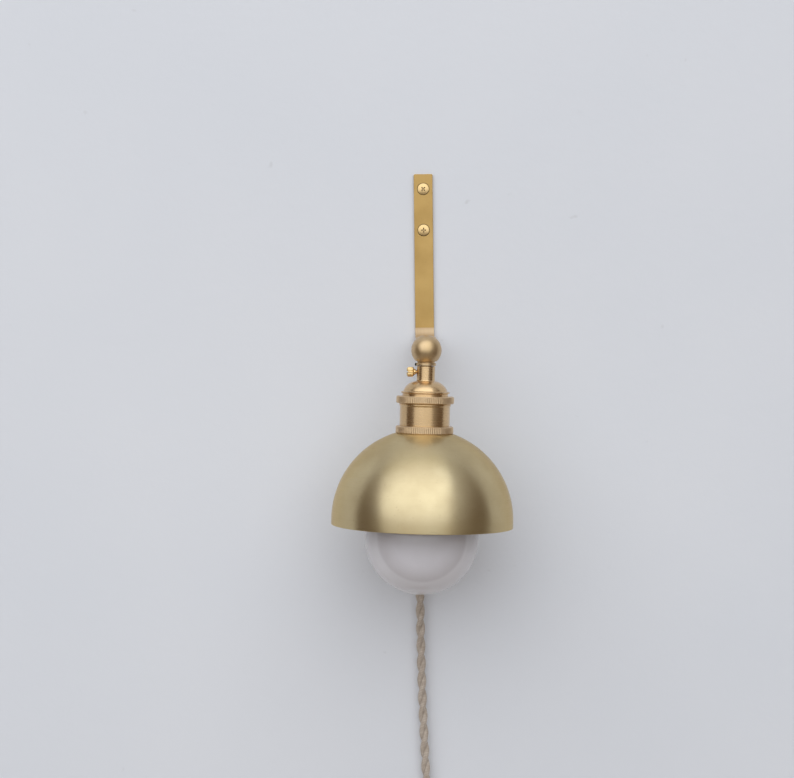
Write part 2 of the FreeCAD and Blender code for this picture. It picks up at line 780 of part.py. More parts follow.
def bulb_globe():
    """Blown opal globe with a short neck that is cemented into the screw cap."""
    ball, wall, neck = cell("globe_radius"), cell("globe_wall"), cell("bulb_neck")
    fillet, inner_ball = cell("bulb_fillet"), ball - wall
    stub = cell("cap_radius") - cell("cap_skin") - 0.3
    foot = CAP_FOOT
    fillet_top = foot + cell("neck_straight")
    reach, side = ball + fillet, neck + fillet
    rise = root(reach * reach - side * side)
    middle = fillet_top + rise
    meet = ball / reach
    inner_meet = inner_ball / reach
    return lamp_turned("bulb_globe", [
        (stub - wall, foot - 11.0),
        (stub, foot - 11.0),
        (stub, foot + 0.3),
        (neck, fillet_top - 2.5),
        (neck, fillet_top),
        (side * meet, middle - rise * meet, fillet),
        (0.0, middle + ball, -ball),
        (0.0, middle + inner_ball),
        (side * inner_meet, middle - rise * inner_meet, inner_ball),
        (neck - wall, fillet_top, -(fillet + wall)),
        (neck - wall, fillet_top - 2.2),
        (stub - wall, foot + 0.8),
    ])


def bulb_cap():
    """Screw cap of the bulb, drawn from thin metal."""
    outer, skin = cell("cap_radius"), cell("cap_skin")
    return lamp_turned("bulb_cap", [
        (outer - skin, CAP_TOP),
        (outer - skin, CAP_FOOT),
        (outer, CAP_FOOT),
        (outer, CAP_TOP + 0.5),
        (outer - 0.3, CAP_TOP),
    ])


def bulb_insulator():
    """Black glass cone between the screw cap and the tip."""
    outer = cell("cap_radius") - cell("cap_skin")
    top = TIP_TOP + 1.4
    return lamp_turned("bulb_insulator", [
        (0.0, top),
        (0.0, CAP_TOP + 2.0),
        (outer, CAP_TOP + 2.0),
        (outer, CAP_TOP),
        (outer - 0.3, CAP_TOP - 0.3),
        (4.8, top),
    ])


def bulb_tip():
    top = TIP_TOP
    return lamp_turned("bulb_tip", [(0.0, top), (0.0, top + 1.4), (4.5, top + 1.4), (3.4, top + 0.3)])


def bulb_stem():
    """Glass stem sealed to the neck's edge, with the post that holds the filaments."""
    stub = cell("cap_radius") - cell("cap_skin") - 0.3
    seal, foot = CAP_FOOT - 11.0, POST_FOOT
    return lamp_turned("bulb_stem", [
        (0.0, seal - 1.0),
        (0.0, foot),
        (cell("stem_radius") - 0.8, foot),
        (cell("stem_radius"), foot - 1.0),
        (cell("stem_radius"), seal + 8.0),
        (stub - cell("globe_wall") - 1.5, seal),
        (stub, seal),
        (stub, seal - 1.0),
    ])


def filament(name, quarter):
    """One light filament beside the stem's post, touching it at its upper end."""
    radius = cell("filament_radius")
    top = POST_FOOT - 6.0
    body = turned(name, [
        (0.0, -top), (0.0, -(top + cell("filament_length"))), (radius, -(top + cell("filament_length"))),
        (radius, -top)])
    offset = cell("stem_radius") + radius + 0.02
    if quarter % 2 == 0:
        side = offset if quarter == 0 else -offset
        return seat(body, cosine(LEAN) * side, LAMP_Y, BALL_Z - sine(LEAN) * side, (0, 1, 0), LEAN)
    out = LAMP_Y + offset if quarter == 1 else LAMP_Y - offset
    return seat(body, 0.0, out, BALL_Z, (0, 1, 0), LEAN)


# ---------------------------------------------------------------- cord, leads and plug


def vector(point):
    return FreeCAD.Vector(*[plain(v) for v in point])


def rounded_path(points, share=0.45):
    """Straight runs joined by tangent arcs as large as the runs allow. Returns the wire and the radii."""
    edges, radii = [], []
    here = points[0]
    for i in range(1, len(points) - 1):
        before, after = points[i] - points[i - 1], points[i + 1] - points[i]
        half_turn = before.getAngle(after) / 2
        cut = share * min(before.Length, after.Length)
        radii.append(cut / math.tan(half_turn))
        start = points[i] - FreeCAD.Vector(before).normalize() * cut
        end = points[i] + FreeCAD.Vector(after).normalize() * cut
        middle = (start + end) * 0.5
        bulge = radii[-1] * (1 / math.cos(half_turn) - 1)
        inward = FreeCAD.Vector(middle - points[i]).normalize()
        edges.append(Part.LineSegment(here, start).toShape())
        edges.append(Part.Arc(start, points[i] + inward * bulge, end).toShape())
        here = end
    edges.append(Part.LineSegment(here, points[-1]).toShape())
    return Part.Wire(edges), radii


def tube_solid(path, radius):
    """A round tube along a path, with its volume compared with its section times its length."""
    first = path.Edges[0]
    start = first.valueAt(first.FirstParameter)
    along = first.tangentAt(first.FirstParameter)
    ring = Part.Wire(Part.Circle(start, along, radius).toShape())
    solid = Part.Wire(path).makePipeShell([ring], True, False)
    expected = math.pi * radius * radius * path.Length
    if abs(solid.Volume - expected) > 0.01 * expected:
        raise ValueError(f"tube volume {solid.Volume:.1f}, and section times length is {expected:.1f}")
    return solid


def shape_part(label, shape):
    item = doc.addObject("Part::Feature", label)
    item.Label = label
    item.Shape = shape
    return item


CORD_START = LAMP_Y + GRIP_START + cell("grip_length")
COIL_SIDE = 19.0        # where the cord runs down into the coil's right side
COIL_MIDDLE = -575.0    # height of the coil's middle
COIL_BACK = -5.8        # the layer next to the wall
TAIL_OUT = COIL_BACK - cell("coil_layer").value

# The cord leaves the grip towards the wall, falls, and hangs behind the lamp close to the wall.
RUN_ROUTE = [
    (0.0, CORD_START, BALL_Z),
    (0.0, CORD_START + 16.5, BALL_Z),
    (-0.5, -24.0, -131.0),
    (-1.3, -14.0, -149.0),
    (-2.6, -9.2, -180.0),
    (-5.0, -7.4, -235.0),
    (-7.4, -6.8, -300.0),
    (-7.6, -7.0, -365.0),
    (-6.8, -6.7, -425.0),
    (-4.4, -7.0, -478.0),
    (-2.4, -6.6, -506.0),
    (3.5, -6.0, -524.0),
    (13.5, -5.6, -541.0),
    (COIL_SIDE, COIL_BACK, -557.0),
    (COIL_SIDE, COIL_BACK, COIL_MIDDLE),
]
TAIL_ROUTE = [
    (COIL_SIDE, TAIL_OUT, COIL_MIDDLE),
    (COIL_SIDE, TAIL_OUT, COIL_MIDDLE - 15.0),
    (COIL_SIDE + 1.6, TAIL_OUT + 0.3, COIL_MIDDLE - 26.0),
    (COIL_SIDE + 1.6, TAIL_OUT + 0.3, COIL_MIDDLE - 39.0),
]


def free_cord(label, route):
    path, radii = rounded_path([vector(p) for p in route])
    print(label, "length", round(path.Length, 1), "radii", [round(r, 1) for r in radii])
    return shape_part(label, tube_solid(path, cell("cord_radius").value))


def coil_point(turns):
    """A point of the coil after so many turns: in along the wall layer, over, and out on the front layer."""
    outer, pitch, layer = (cell(n).value for n in ("coil_radius", "coil_pitch", "coil_layer"))
    turns_in = cell("coil_turns_in").value
    past = turns - turns_in
    if past <= 0:
        radius, lift = outer - pitch * turns, 0.0
    elif past <= 0.5:
        radius = outer - pitch * turns_in - pitch * past + 2 * pitch * past * past
        lift = past / 0.5
    else:
        radius, lift = outer - pitch * turns_in + pitch * (past - 0.5), 1.0
    angle = -2 * math.pi * turns
    centre = COIL_SIDE - outer
    return FreeCAD.Vector(centre + radius * math.cos(angle), COIL_BACK - layer * lift,
                          COIL_MIDDLE + radius * math.sin(angle))


def coil_heading(turns, total):
    """The coil's direction there; it starts and ends straight down, as the stretches beside it run."""
    if turns < 1e-6 or turns > total - 1e-6:
        return FreeCAD.Vector(0, 0, -1)
    step = 0.01
    return (coil_point(turns + step) - coil_point(turns - step)).normalize()


def biarc(start, heading, end, end_heading):
    """Two arcs that leave along one direction and arrive along another."""
    gap = end - start
    both = heading + end_heading
    turn = 2 * (1 - heading.dot(end_heading))
    reach = (-gap.dot(both) + math.sqrt(gap.dot(both) ** 2 + turn * gap.dot(gap))) / turn
    first, second = start + heading * reach, end - end_heading * reach
    joint = (first + second) * 0.5
    return [arc_to(start, first, joint), arc_to(joint, second, end)]


def arc_to(start, corner, end):
    """The arc from start to end whose end tangents meet at corner."""
    middle = (start + end) * 0.5
    rise = FreeCAD.Vector(corner - middle)
    half_chord = (end - start).Length / 2
    half_turn = math.atan2(rise.Length, half_chord)
    bulge = half_chord * math.tan(half_turn / 2)
    return Part.Arc(start, middle + rise.normalize() * bulge, end).toShape()


def cord_coil():
    """The cord's put-away length: one tube that winds in beside the wall, climbs, and winds out again."""
    total = 2 * cell("coil_turns_in").value + 0.5
    count = int(round(total * 4))
    edges = []
    for i in range(count):
        a, b = total * i / count, total * (i + 1) / count
        edges += biarc(coil_point(a), coil_heading(a, total), coil_point(b), coil_heading(b, total))
    path = Part.Wire(edges)
    gap = least_gap(total)
    print("cord_coil length", round(path.Length, 1), "turns", total, "least gap", round(gap, 2))
    return shape_part("cord_coil", tube_solid(path, cell("cord_radius").value))


def least_gap(total):
    """The least space between the coil's turns, on points a few degrees apart."""
    per_turn = 48
    points = [coil_point(total * i / (total * per_turn)) for i in range(int(total * per_turn) + 1)]
    least = 1e9
    for i, p in enumerate(points):
        for q in points[i + per_turn // 2:]:
            least = min(least, (p - q).Length)
    return least - 2 * cell("cord_radius").value


def coil_tie():
    """Flat band round the bundle of turns at the coil's top."""
    pitch, layer, radius = cell("coil_pitch"), cell("coil_layer"), cell("cord_radius")
    outer, room, thick = cell("coil_radius"), cell("tie_room"), cell("tie_thick")
    top = outer - pitch * 0.25 + radius + room
    foot = outer - pitch * cell("coil_turns_in") - radius - room - 0.4
    front = layer + radius + room
    back = radius + room
    corner = radius
    body = new_body("coil_tie")

    def loop(grow):
        turn = corner + grow
        return [
            (back + grow, foot + corner), (back + grow, top - corner),
            (back - corner, top + grow, turn), (corner - front, top + grow),
            (-front - grow, top - corner, turn), (-front - grow, foot + corner),
            (corner - front, foot - grow, turn), (back - corner, foot - grow),
            (back + grow, foot + corner, turn),
        ][1:]

    band = body.newObject("PartDesign::Pad", "band")
    band.Profile = outline(body, "band_outside", "YZ_Plane", loop(thick))
    band.Midplane = True
    band.setExpression("Length", "Sizes.tie_width")
    doc.recompute()
    inside = body.newObject("PartDesign::Pocket", "inside")
    inside.Profile = outline(body, "band_inside", "YZ_Plane", loop(Size(0.0, "0")))
    inside.Midplane = True
    inside.setExpression("Length", "Sizes.tie_width + 2")
    return seat(body, Size(COIL_SIDE, repr(COIL_SIDE)) - outer, COIL_BACK, COIL_MIDDLE)


def lead_pair(label, routes):
    """Two covered conductors."""
    solids = [tube_solid(rounded_path([vector(p) for p in r])[0], cell("lead_radius").value) for r in routes]
    return shape_part(label, Part.makeCompound(solids))


def cord_leads():
    """The cord's two conductors through the grip and the nipple, into the ball."""
    offset = cell("lead_offset")
    inner_end = LAMP_Y + 1.5
    routes = []
    for side in (1, -1):
        routes.append([(offset * side, CORD_START, BALL_Z), (offset * side, inner_end, BALL_Z)])
    return lead_pair("cord_leads", routes)


def holder_leads():
    """Two conductors from the stem, through the neck, to the terminals on the ceramic."""
    offset, spread = cell("lead_offset").value, cell("terminal_offset").value
    top = cell("collar_foot").value + 1.0
    end = INSERT_TOP.value - cell("terminal_height").value
    lean = FreeCAD.Placement(vector((0.0, LAMP_Y, BALL_Z)), FreeCAD.Rotation(FreeCAD.Vector(0, 1, 0), LEAN.value))
    routes = []
    for side in (1, -1):
        stops = [(offset, top), (offset, NECK_FOOT.value + 2.0), (offset + 5.0, NECK_FOOT.value + 12.0),
                 (spread, end - 6.0), (spread, end)]
        routes.append([lean.multVec(FreeCAD.Vector(x * side, 0, -drop)) for x, drop in stops])
    return lead_pair("holder_leads", routes)


def plug_relief():
    """Tapered strain relief that grows out of the plug round the cord's end."""
    narrow, wide = cell("cord_radius") + 0.6, cell("relief_wide")
    length = cell("relief_length")
    item = turned("plug_relief", [(0.0, 0.0), (0.0, -length), (wide, -length), (wide - 0.6, -length + 5.0),
                                  (narrow, -0.6), (narrow - 0.5, 0.0)])
    return seat_on_tail(item, 0.0)


def seat_on_tail(item, drop):
    last = TAIL_ROUTE[-1]
    up = Size(last[2], repr(last[2])) - drop
    return seat(item, last[0], last[1], up)


def plug_body():
    """Moulded plug body: rounded in section, narrow at the cord and broad at the blades."""
    length, half_width, half_thick = cell("plug_length"), cell("plug_half_width"), cell("plug_half_thick")
    soft = Size(5.0, "5")
    body = new_body("plug_body")
    pad = body.newObject("PartDesign::Pad", "block")
    pad.Profile = outline(body, "section", "XY_Plane", [
        (half_width, -half_thick + soft, soft), (half_width, half_thick - soft),
        (half_width - soft, half_thick, soft), (-half_width + soft, half_thick),
        (-half_width, half_thick - soft, soft), (-half_width, -half_thick + soft),
        (-half_width + soft, -half_thick, soft), (half_width - soft, -half_thick)])
    pad.Reversed = True
    pad.setExpression("Length", length.text)
    doc.recompute()
    for plane, half in (("XZ_Plane", half_width), ("YZ_Plane", half_thick)):
        for side in (1, -1):
            cut_shoulder(body, plane, half, side)
    return seat_on_tail(body, cell("relief_length"))


def cut_shoulder(body, plane, half, side):
    """Rounds one shoulder of the plug down to the width of the strain relief."""
    throat, drop = cell("relief_wide"), 9.0
    name = f"shoulder_{plane[:2]}_{'right' if side > 0 else 'left'}"
    pocket = body.newObject("PartDesign::Pocket", name)
    pocket.Profile = outline(body, name + "_shape", plane, [
        (throat * side, 1.0), (throat * side, 0.0), (half * side, -drop, cell("plug_half_width") * -side),
        ((half + 1.0) * side, -drop), ((half + 1.0) * side, 1.0)])
    pocket.Midplane = True
    pocket.setExpression("Length", (cell("plug_half_width") * 3).text)
    doc.recompute()


def plug_blade(name, side):
    """Flat contact blade with a chamfered end and a hole."""
    width, thick, length = cell("blade_width"), cell("blade_thick"), cell("blade_length")
    body = new_body(name)
    pad = body.newObject("PartDesign::Pad", "blade")
    half = width / 2
    pad.Profile = outline(body, "blade_side", "YZ_Plane", [
        (-half, 0.0), (-half, -length + 1.2), (-half + 1.2, -length), (half - 1.2, -length),
        (half, -length + 1.2), (half, 0.0)])
    pad.Midplane = True
    pad.setExpression("Length", thick.text)
    doc.recompute()
    hole = circle_sketch(body, "hole_place", "YZ_Plane", 0.0, -length + 5.0, Size(1.6, "1.6"), -thick)
    add_pocket(body, "hole", hole, thick * 2, reverse=True)
    last = TAIL_ROUTE[-1]
    offset = cell("blade_gap") / 2 * side
    up = Size(last[2], repr(last[2])) - cell("relief_length") - cell("plug_length")
    return seat(body, last[0] + offset, last[1], up)


# ---------------------------------------------------------------- the whole lamp

COUNT = cell("knurl_count")
RING_BORE = cell("shell_thread") + GAP

sub_parts = [
    wall_bracket(),
    group("wall_screws", [wall_screw("upper_screw", cell("screw_pitch") / 2, 45),
                          wall_screw("lower_screw", -(cell("screw_pitch") / 2), 0)]),
    side_nipple(),
    washer("ball_washer", cell("ball_seat"), cell("washer_thick"), cell("washer_radius")),
    washer("lock_washer", SEAT_FACE + THICK, cell("lock_thick"), cell("washer_radius")),
    lock_nut(),
    cord_grip(),
    cord_leads(),
    free_cord("cord_run", RUN_ROUTE),
    cord_coil(),
    coil_tie(),
    free_cord("cord_tail", TAIL_ROUTE),
    plug_relief(),
    plug_body(),
    group("plug_blades", [plug_blade("left_blade", -1), plug_blade("right_blade", 1)]),
    swivel_ball(),
    stem_nipple(),
    grub_screw(),
    socket_cap(),
    thumb_screw(),
    milled_ring("cap_ring", SKIRT_TOP, cell("cap_ring_height"), cell("skirt_radius") + GAP, COUNT),
    socket_body(),
    milled_ring("upper_shade_ring", SHELL_STEP + GAP, cell("shade_ring_height"), RING_BORE, COUNT),
    milled_ring("lower_shade_ring", SHADE_UNDER + GAP, cell("inner_ring_height"), RING_BORE, COUNT),
    dome_shade(),
    socket_insert(),
    screw_shell(),
    centre_contact(),
    group("terminal_screws", [terminal_screw("left_terminal", -1), terminal_screw("right_terminal", 1)]),
    holder_leads(),
    bulb_globe(),
    bulb_cap(),
    bulb_insulator(),
    bulb_tip(),
    bulb_stem(),
    group("bulb_filaments", [filament(f"filament_{q}", q) for q in range(4)]),
]
doc.recompute()

faults = [o.Name for o in doc.Objects if "Invalid" in o.State or "Error" in o.State]
if faults:
    raise ValueError(f"failed objects: {faults}")
for item in sub_parts:
    if item.Shape.isNull() or not item.Shape.isValid():
        raise ValueError(f"{item.Label} has no valid shape")

os.makedirs("parts", exist_ok=True)
for item in sub_parts:
    item.Shape.exportStep(f"parts/{item.Label}.step")
    print(item.Label, len(item.Shape.Solids), round(item.Shape.Volume, 1))
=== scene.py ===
"""Looks of the pendant wall sconce: brushed and turned brass, an opal globe and a twisted cloth cord.

The piece sizes below are millimetres, and MM turns them into the scene's metres.
"""

import math

import bmesh
import bpy
from mathutils import Matrix, Vector


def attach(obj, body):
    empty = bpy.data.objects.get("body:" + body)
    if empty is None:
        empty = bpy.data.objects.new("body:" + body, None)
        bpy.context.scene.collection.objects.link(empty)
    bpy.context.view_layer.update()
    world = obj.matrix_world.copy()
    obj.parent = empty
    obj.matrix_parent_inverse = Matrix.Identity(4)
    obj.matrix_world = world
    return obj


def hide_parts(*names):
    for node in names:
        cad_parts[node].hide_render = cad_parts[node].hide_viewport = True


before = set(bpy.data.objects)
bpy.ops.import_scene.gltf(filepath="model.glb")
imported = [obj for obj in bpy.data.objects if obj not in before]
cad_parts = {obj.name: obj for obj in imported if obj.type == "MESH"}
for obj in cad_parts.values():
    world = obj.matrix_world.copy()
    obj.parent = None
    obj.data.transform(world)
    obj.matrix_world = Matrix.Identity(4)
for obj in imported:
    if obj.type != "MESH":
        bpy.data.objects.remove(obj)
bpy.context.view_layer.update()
MM = 0.001

# ---------------------------------------------------------------------------------------------
# Wall bracket. A flat bar of half-hard brass, 16.5 by 3 mm, bent forward at the foot of its wall leg
# and down again into a short tab behind the ball. It is brushed along its length and lacquered.

BAR_WIDTH, BAR_THICK, BAR_TOP = 16.5, 3.0, 31.0
ARM_DROP, WALL_BEND, TAB_BEND = 111.4, 8.0, 1.5
TAB_BACK, TAB_FOOT = 79.0, 130.4
TAB_CORNER, BAR_CORNER, BAR_EDGE = 4.0, 1.2, 0.35
SCREW_UP, SINK_WIDE, SINK_NARROW = 18.0, 6.4, 2.2
BALL_DROP, TUBE_FIT = 122.4, 4.9


def trace(bm, corners):
    """Draws a closed outline in the XZ plane, with the corners in millimetres.

    Each corner is (across, up), or (across, up, radius) where an arc of that radius arrives at it.
    A negative radius turns right.
    """
    first = last = bm.verts.new((corners[0][0], 0, corners[0][1]))
    for corner in corners[1:] + corners[:1]:
        start, end = last.co.copy(), Vector((corner[0], 0, corner[1]))
        if len(corner) == 3:
            radius = corner[2]
            chord = end - start
            side = Vector((-chord.z, 0, chord.x)).normalized()
            rise = math.sqrt(max(radius * radius - chord.length_squared / 4, 0.0))
            centre = (start + end) / 2 + side * math.copysign(rise, radius)
            sweep = 2 * math.asin(min(1.0, chord.length / 2 / abs(radius)))
            steps = max(3, math.ceil(sweep / math.radians(3.0 if abs(radius) > 10 else 9.0)))
            arc = bmesh.ops.spin(bm, geom=[last], cent=centre, axis=(0, -1, 0),
                                 angle=math.copysign(sweep, radius), steps=steps)
            last = next(g for g in arc["geom_last"] if isinstance(g, bmesh.types.BMVert))
            last.co = end
            if corner is corners[0]:
                bmesh.ops.pointmerge(bm, verts=[last, first], merge_co=end)
        elif corner is corners[0]:
            bm.edges.new((last, first))
        else:
            after = bm.verts.new(end)
            bm.edges.new((last, after))
            last = after


def soften_corners(bm, soft):
    """Rounds the sharp corners of an outline a little, as a file or a deburring wheel does."""
    corners = []
    for vert in bm.verts:
        if len(vert.link_edges) == 2 and abs(vert.co.x) > 0.01:
            one, two = [(e.other_vert(vert).co - vert.co) for e in vert.link_edges]
            if one.angle(-two) > math.radians(20):
                corners.append((vert, min(soft, 0.4 * min(one.length, two.length))))
    for vert, offset in corners:
        bmesh.ops.bevel(bm, geom=[vert], offset=offset, segments=2, profile=0.5, affect="VERTICES",
                        material=-1)


def round_edges(bm, edges, radius, segments=2):
    """Rounds edges by a radius in millimetres."""
    bmesh.ops.bevel(bm, geom=edges, offset=radius, segments=segments, profile=0.5, affect="EDGES",
                    material=-1)


def sharp_edges(bm, degrees):
    """The edges whose faces meet at more than an angle."""
    return [e for e in bm.edges if e.calc_face_angle(0) > math.radians(degrees)]


def draw_out(bm, faces, reach):
    """Draws faces out into a solid."""
    drawn = bmesh.ops.extrude_face_region(bm, geom=faces)
    bmesh.ops.translate(bm, vec=reach, verts=[g for g in drawn["geom"] if isinstance(g, bmesh.types.BMVert)])
    bmesh.ops.recalc_face_normals(bm, faces=bm.faces[:])


def level_normals(mesh):
    """Lets the larger faces set the shading at their corners, so that flats stay flat beside small bevels.

    Faces that meet at more than 40 degrees keep a crisp edge.
    """
    crisp = math.cos(math.radians(40))
    facings = [(face.normal.copy(), face.area) for face in mesh.polygons]
    around = [[] for _ in mesh.vertices]
    for index, face in enumerate(mesh.polygons):
        for corner in face.vertices:
            around[corner].append(index)
    normals = []
    for index, face in enumerate(mesh.polygons):
        facing = facings[index][0]
        for corner in face.vertices:
            total = Vector()
            for other in around[corner]:
                normal, area = facings[other]
                if normal.dot(facing) > crisp:
                    total += normal * area
            normals.append(total.normalized() if total.length else facing)
    mesh.normals_split_custom_set(normals)


def new_object(name, data):
    """Puts a mesh, curve, light or camera into the scene."""
    item = bpy.data.objects.new(name, data)
    bpy.context.scene.collection.objects.link(item)
    return item


def mesh_of(bm, name):
    """Turns a finished form into a mesh."""
    mesh = bpy.data.meshes.new(name)
    bm.to_mesh(mesh)
    bm.free()
    return mesh


def stand_in(bm, name, material, slot, body, *nodes):
    """Makes a finished piece an object that takes the place of its CAD nodes and rides with their body."""
    bmesh.ops.scale(bm, verts=bm.verts[:], vec=(MM, MM, MM))
    mesh = mesh_of(bm, name)
    mesh.polygons.foreach_set("use_smooth", [True] * len(mesh.polygons))
    level_normals(mesh)
    mesh.materials.append(material)
    piece = new_object(name, mesh)
    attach(piece, body)
    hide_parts(*nodes)
    return piece


def new_material(name):
    """A material and its Principled shader."""
    material = bpy.data.materials.new(name)
    material.use_nodes = True
    return material, material.node_tree, material.node_tree.nodes["Principled BSDF"]


def feed(tree, socket, term):
    """Links a socket to a term, or gives it the term as a plain value."""
    if isinstance(term, bpy.types.NodeSocket):
        tree.links.new(term, socket)
    elif term is not None:
        socket.default_value = term


def feed_named(tree, node, **terms):
    """Feeds a node's sockets by name, with an underscore for each space."""
    for label, term in terms.items():
        feed(tree, node.inputs[label.replace("_", " ")], term)


def maths(tree, operation, first, second=None, third=None):
    """A Math node. Each term is a socket or a number."""
    node = tree.nodes.new("ShaderNodeMath")
    node.operation = operation
    for socket, term in zip(node.inputs, (first, second, third)):
        feed(tree, socket, term)
    return node.outputs[0]


def mixed(tree, share, first, second):
    """A colour between two others. Share and colours are sockets or plain values."""
    node = tree.nodes.new("ShaderNodeMix")
    node.data_type = "RGBA"
    for socket, term in ((node.inputs[0], share), (node.inputs[6], first), (node.inputs[7], second)):
        feed(tree, socket, term)
    return node.outputs[2]


def between(tree, value, low, high, start=0.0, end=1.0):
    """Spreads the values from low to high over the range from start to end."""
    node = tree.nodes.new("ShaderNodeMapRange")
    for socket, term in zip(node.inputs, (value, low, high, start, end)):
        feed(tree, socket, term)
    return node.outputs[0]


def noise(tree, vector, scale, detail=3.0, roughness=0.5):
    """The value of a noise pattern at a place."""
    node = tree.nodes.new("ShaderNodeTexNoise")
    feed_named(tree, node, Vector=vector, Scale=scale, Detail=detail, Roughness=roughness)
    return node.outputs[0]


def bumped(tree, height, distance, strength=1.0):
    """A normal from a height pattern, with the depth of the pattern in millimetres."""
    node = tree.nodes.new("ShaderNodeBump")
    feed_named(tree, node, Strength=strength, Distance=distance * MM, Height=height)
    return node.outputs[0]


def shader_group(name, inputs, outputs):
    """A node group with the given number, colour or vector sockets."""
    kinds = {"number": "NodeSocketFloat", "colour": "NodeSocketColor", "vector": "NodeSocketVector"}
    group = bpy.data.node_groups.new(name, "ShaderNodeTree")
    for label, kind in inputs:
        group.interface.new_socket(label, in_out="INPUT", socket_type=kinds[kind])
    for label, kind in outputs:
        group.interface.new_socket(label, in_out="OUTPUT", socket_type=kinds[kind])
    return group, group.nodes.new("NodeGroupInput").outputs, group.nodes.new("NodeGroupOutput").inputs


def placed_group(tree, group, **terms):
    """Puts a group into a material and feeds its sockets."""
    node = tree.nodes.new("ShaderNodeGroup")
    node.node_tree = group
    feed_named(tree, node, **terms)
    return node.outputs


def axes(tree, place):
    """The parts of a place: across, away from the wall, and up."""
    node = tree.nodes.new("ShaderNodeSeparateXYZ")
    feed(tree, node.inputs[0], place)
    return node.outputs


def object_place(tree, own_frame=None):
    """A point's place on the piece, in metres, or its place in a frame of the piece's own."""
    place = tree.nodes.new("ShaderNodeTexCoord").outputs["Object"]
    if own_frame is None:
        return place
    mapping = tree.nodes.new("ShaderNodeMapping")
    back = own_frame.inverted()
    mapping.inputs["Location"].default_value = back.to_translation()
    mapping.inputs["Rotation"].default_value = back.to_euler()
    tree.links.new(place, mapping.inputs["Vector"])
    return mapping.outputs[0]


def stretched(tree, place, scale):
    """A place made longer or shorter along each axis."""
    node = tree.nodes.new("ShaderNodeMapping")
    node.inputs["Scale"].default_value = scale
    tree.links.new(place, node.inputs["Vector"])
    return node.outputs[0]


# The face of lacquered brass: faint clouds of darker metal, the lines of the brush or the tool, and a
# few specks under the lacquer.
brass_face, face_in, face_out = shader_group(
    "brass_face",
    [("Place", "vector"), ("Lines", "vector"), ("Pale", "colour"), ("Deep", "colour"),
     ("Dullness", "number")],
    [("Colour", "colour"), ("Roughness", "number"), ("Height", "number")])
cloud = noise(brass_face, face_in["Place"], 38.0, 4.0)
brushed = noise(brass_face, face_in["Lines"], 1.0, 3.0, 0.6)
speck = noise(brass_face, face_in["Place"], 900.0, 2.0)
clean = mixed(brass_face, between(brass_face, cloud, 0.35, 0.68), face_in["Pale"], face_in["Deep"])
lined = mixed(brass_face, between(brass_face, brushed, 0.5, 0.8, 0.0, 0.35), clean, face_in["Deep"])
feed(brass_face, face_out["Colour"], mixed(brass_face, between(brass_face, speck, 0.68, 0.75, 0.0, 0.5),
                                            lined, (0.30, 0.18, 0.08, 1)))
worn = maths(brass_face, "ADD", between(brass_face, brushed, 0.3, 0.7, -0.05, 0.05),
             between(brass_face, cloud, 0.35, 0.65, -0.02, 0.05))
feed(brass_face, face_out["Roughness"], maths(brass_face, "ADD", face_in["Dullness"], worn))
feed(brass_face, face_out["Height"], brushed)


def metal_face(tree, shader, place, lines, pale, deep, dullness, depth):
    """Gives a shader the face of lacquered metal, and returns what the face is made of."""
    face = placed_group(tree, brass_face, Place=place, Lines=lines, Pale=pale, Deep=deep, Dullness=dullness)
    feed_named(tree, shader, Base_Color=face["Colour"], Roughness=face["Roughness"], Metallic=1.0,
               Normal=bumped(tree, face["Height"], depth))
    return face


brass_strip, tree, shader = new_material("brass_strip")
place = object_place(tree)
face = metal_face(tree, shader, place, stretched(tree, place, (4200.0, 60.0, 60.0)), (0.44, 0.285, 0.10, 1),
                  (0.39, 0.245, 0.08, 1), 0.36, 0.012)
# Both bends are painted paler than the brushed leg, a painted reflection of the light above, and
# are made duller. The metres where that look fades in: up the bar, beside the wall and beside the tab.
LOW_ON_BAR, NEAR_WALL, NEAR_TAB = (-0.1031, -0.1037), (-0.020, -0.013), (-0.068, -0.076)
along = axes(tree, place)
bend_painted_reflection = maths(tree, "MULTIPLY", between(tree, along[2], *LOW_ON_BAR),
               maths(tree, "ADD", between(tree, along[1], *NEAR_WALL), between(tree, along[1], *NEAR_TAB)))
# Painted reflection: the bends take a paler base colour.
feed_named(tree, shader, Base_Color=mixed(tree, bend_painted_reflection, face["Colour"], (0.64, 0.49, 0.31, 1)),
           Roughness=maths(tree, "MULTIPLY_ADD", bend_painted_reflection, 0.30, face["Roughness"]),
           Coat_Weight=0.12, Coat_Roughness=0.3)

bar = bmesh.new()
trace(bar, [
    (-BAR_THICK, BAR_TOP), (-BAR_THICK, WALL_BEND - ARM_DROP),
    (-BAR_THICK - WALL_BEND, -ARM_DROP, -WALL_BEND),
    (TAB_BEND - TAB_BACK, -ARM_DROP),
    (-TAB_BACK - BAR_THICK, -ARM_DROP - BAR_THICK - TAB_BEND, TAB_BEND + BAR_THICK),
    (-TAB_BACK - BAR_THICK, -TAB_FOOT), (-TAB_BACK, -TAB_FOOT),
    (-TAB_BACK, -ARM_DROP - BAR_THICK - TAB_BEND),
    (TAB_BEND - TAB_BACK, -ARM_DROP - BAR_THICK, -TAB_BEND),
    (-BAR_THICK - WALL_BEND, -ARM_DROP - BAR_THICK),
    (0.0, WALL_BEND - ARM_DROP, WALL_BEND + BAR_THICK), (0.0, BAR_TOP),
])
side_face = bmesh.ops.contextual_create(bar, geom=bar.edges[:])["faces"]
bmesh.ops.rotate(bar, verts=bar.verts[:], cent=(0, 0, 0), matrix=Matrix.Rotation(math.radians(90), 3, "Z"))
bmesh.ops.translate(bar, verts=bar.verts[:], vec=(-BAR_WIDTH / 2, 0, 0))
draw_out(bar, side_face, (BAR_WIDTH, 0, 0))
for up, radius in ((-TAB_FOOT, TAB_CORNER), (BAR_TOP, BAR_CORNER)):
    through = [e for e in bar.edges if all(abs(v.co.z - up) < 0.01 for v in e.verts)
               and abs(e.verts[0].co.x - e.verts[1].co.x) < 0.01]
    round_edges(bar, through, radius, 8)
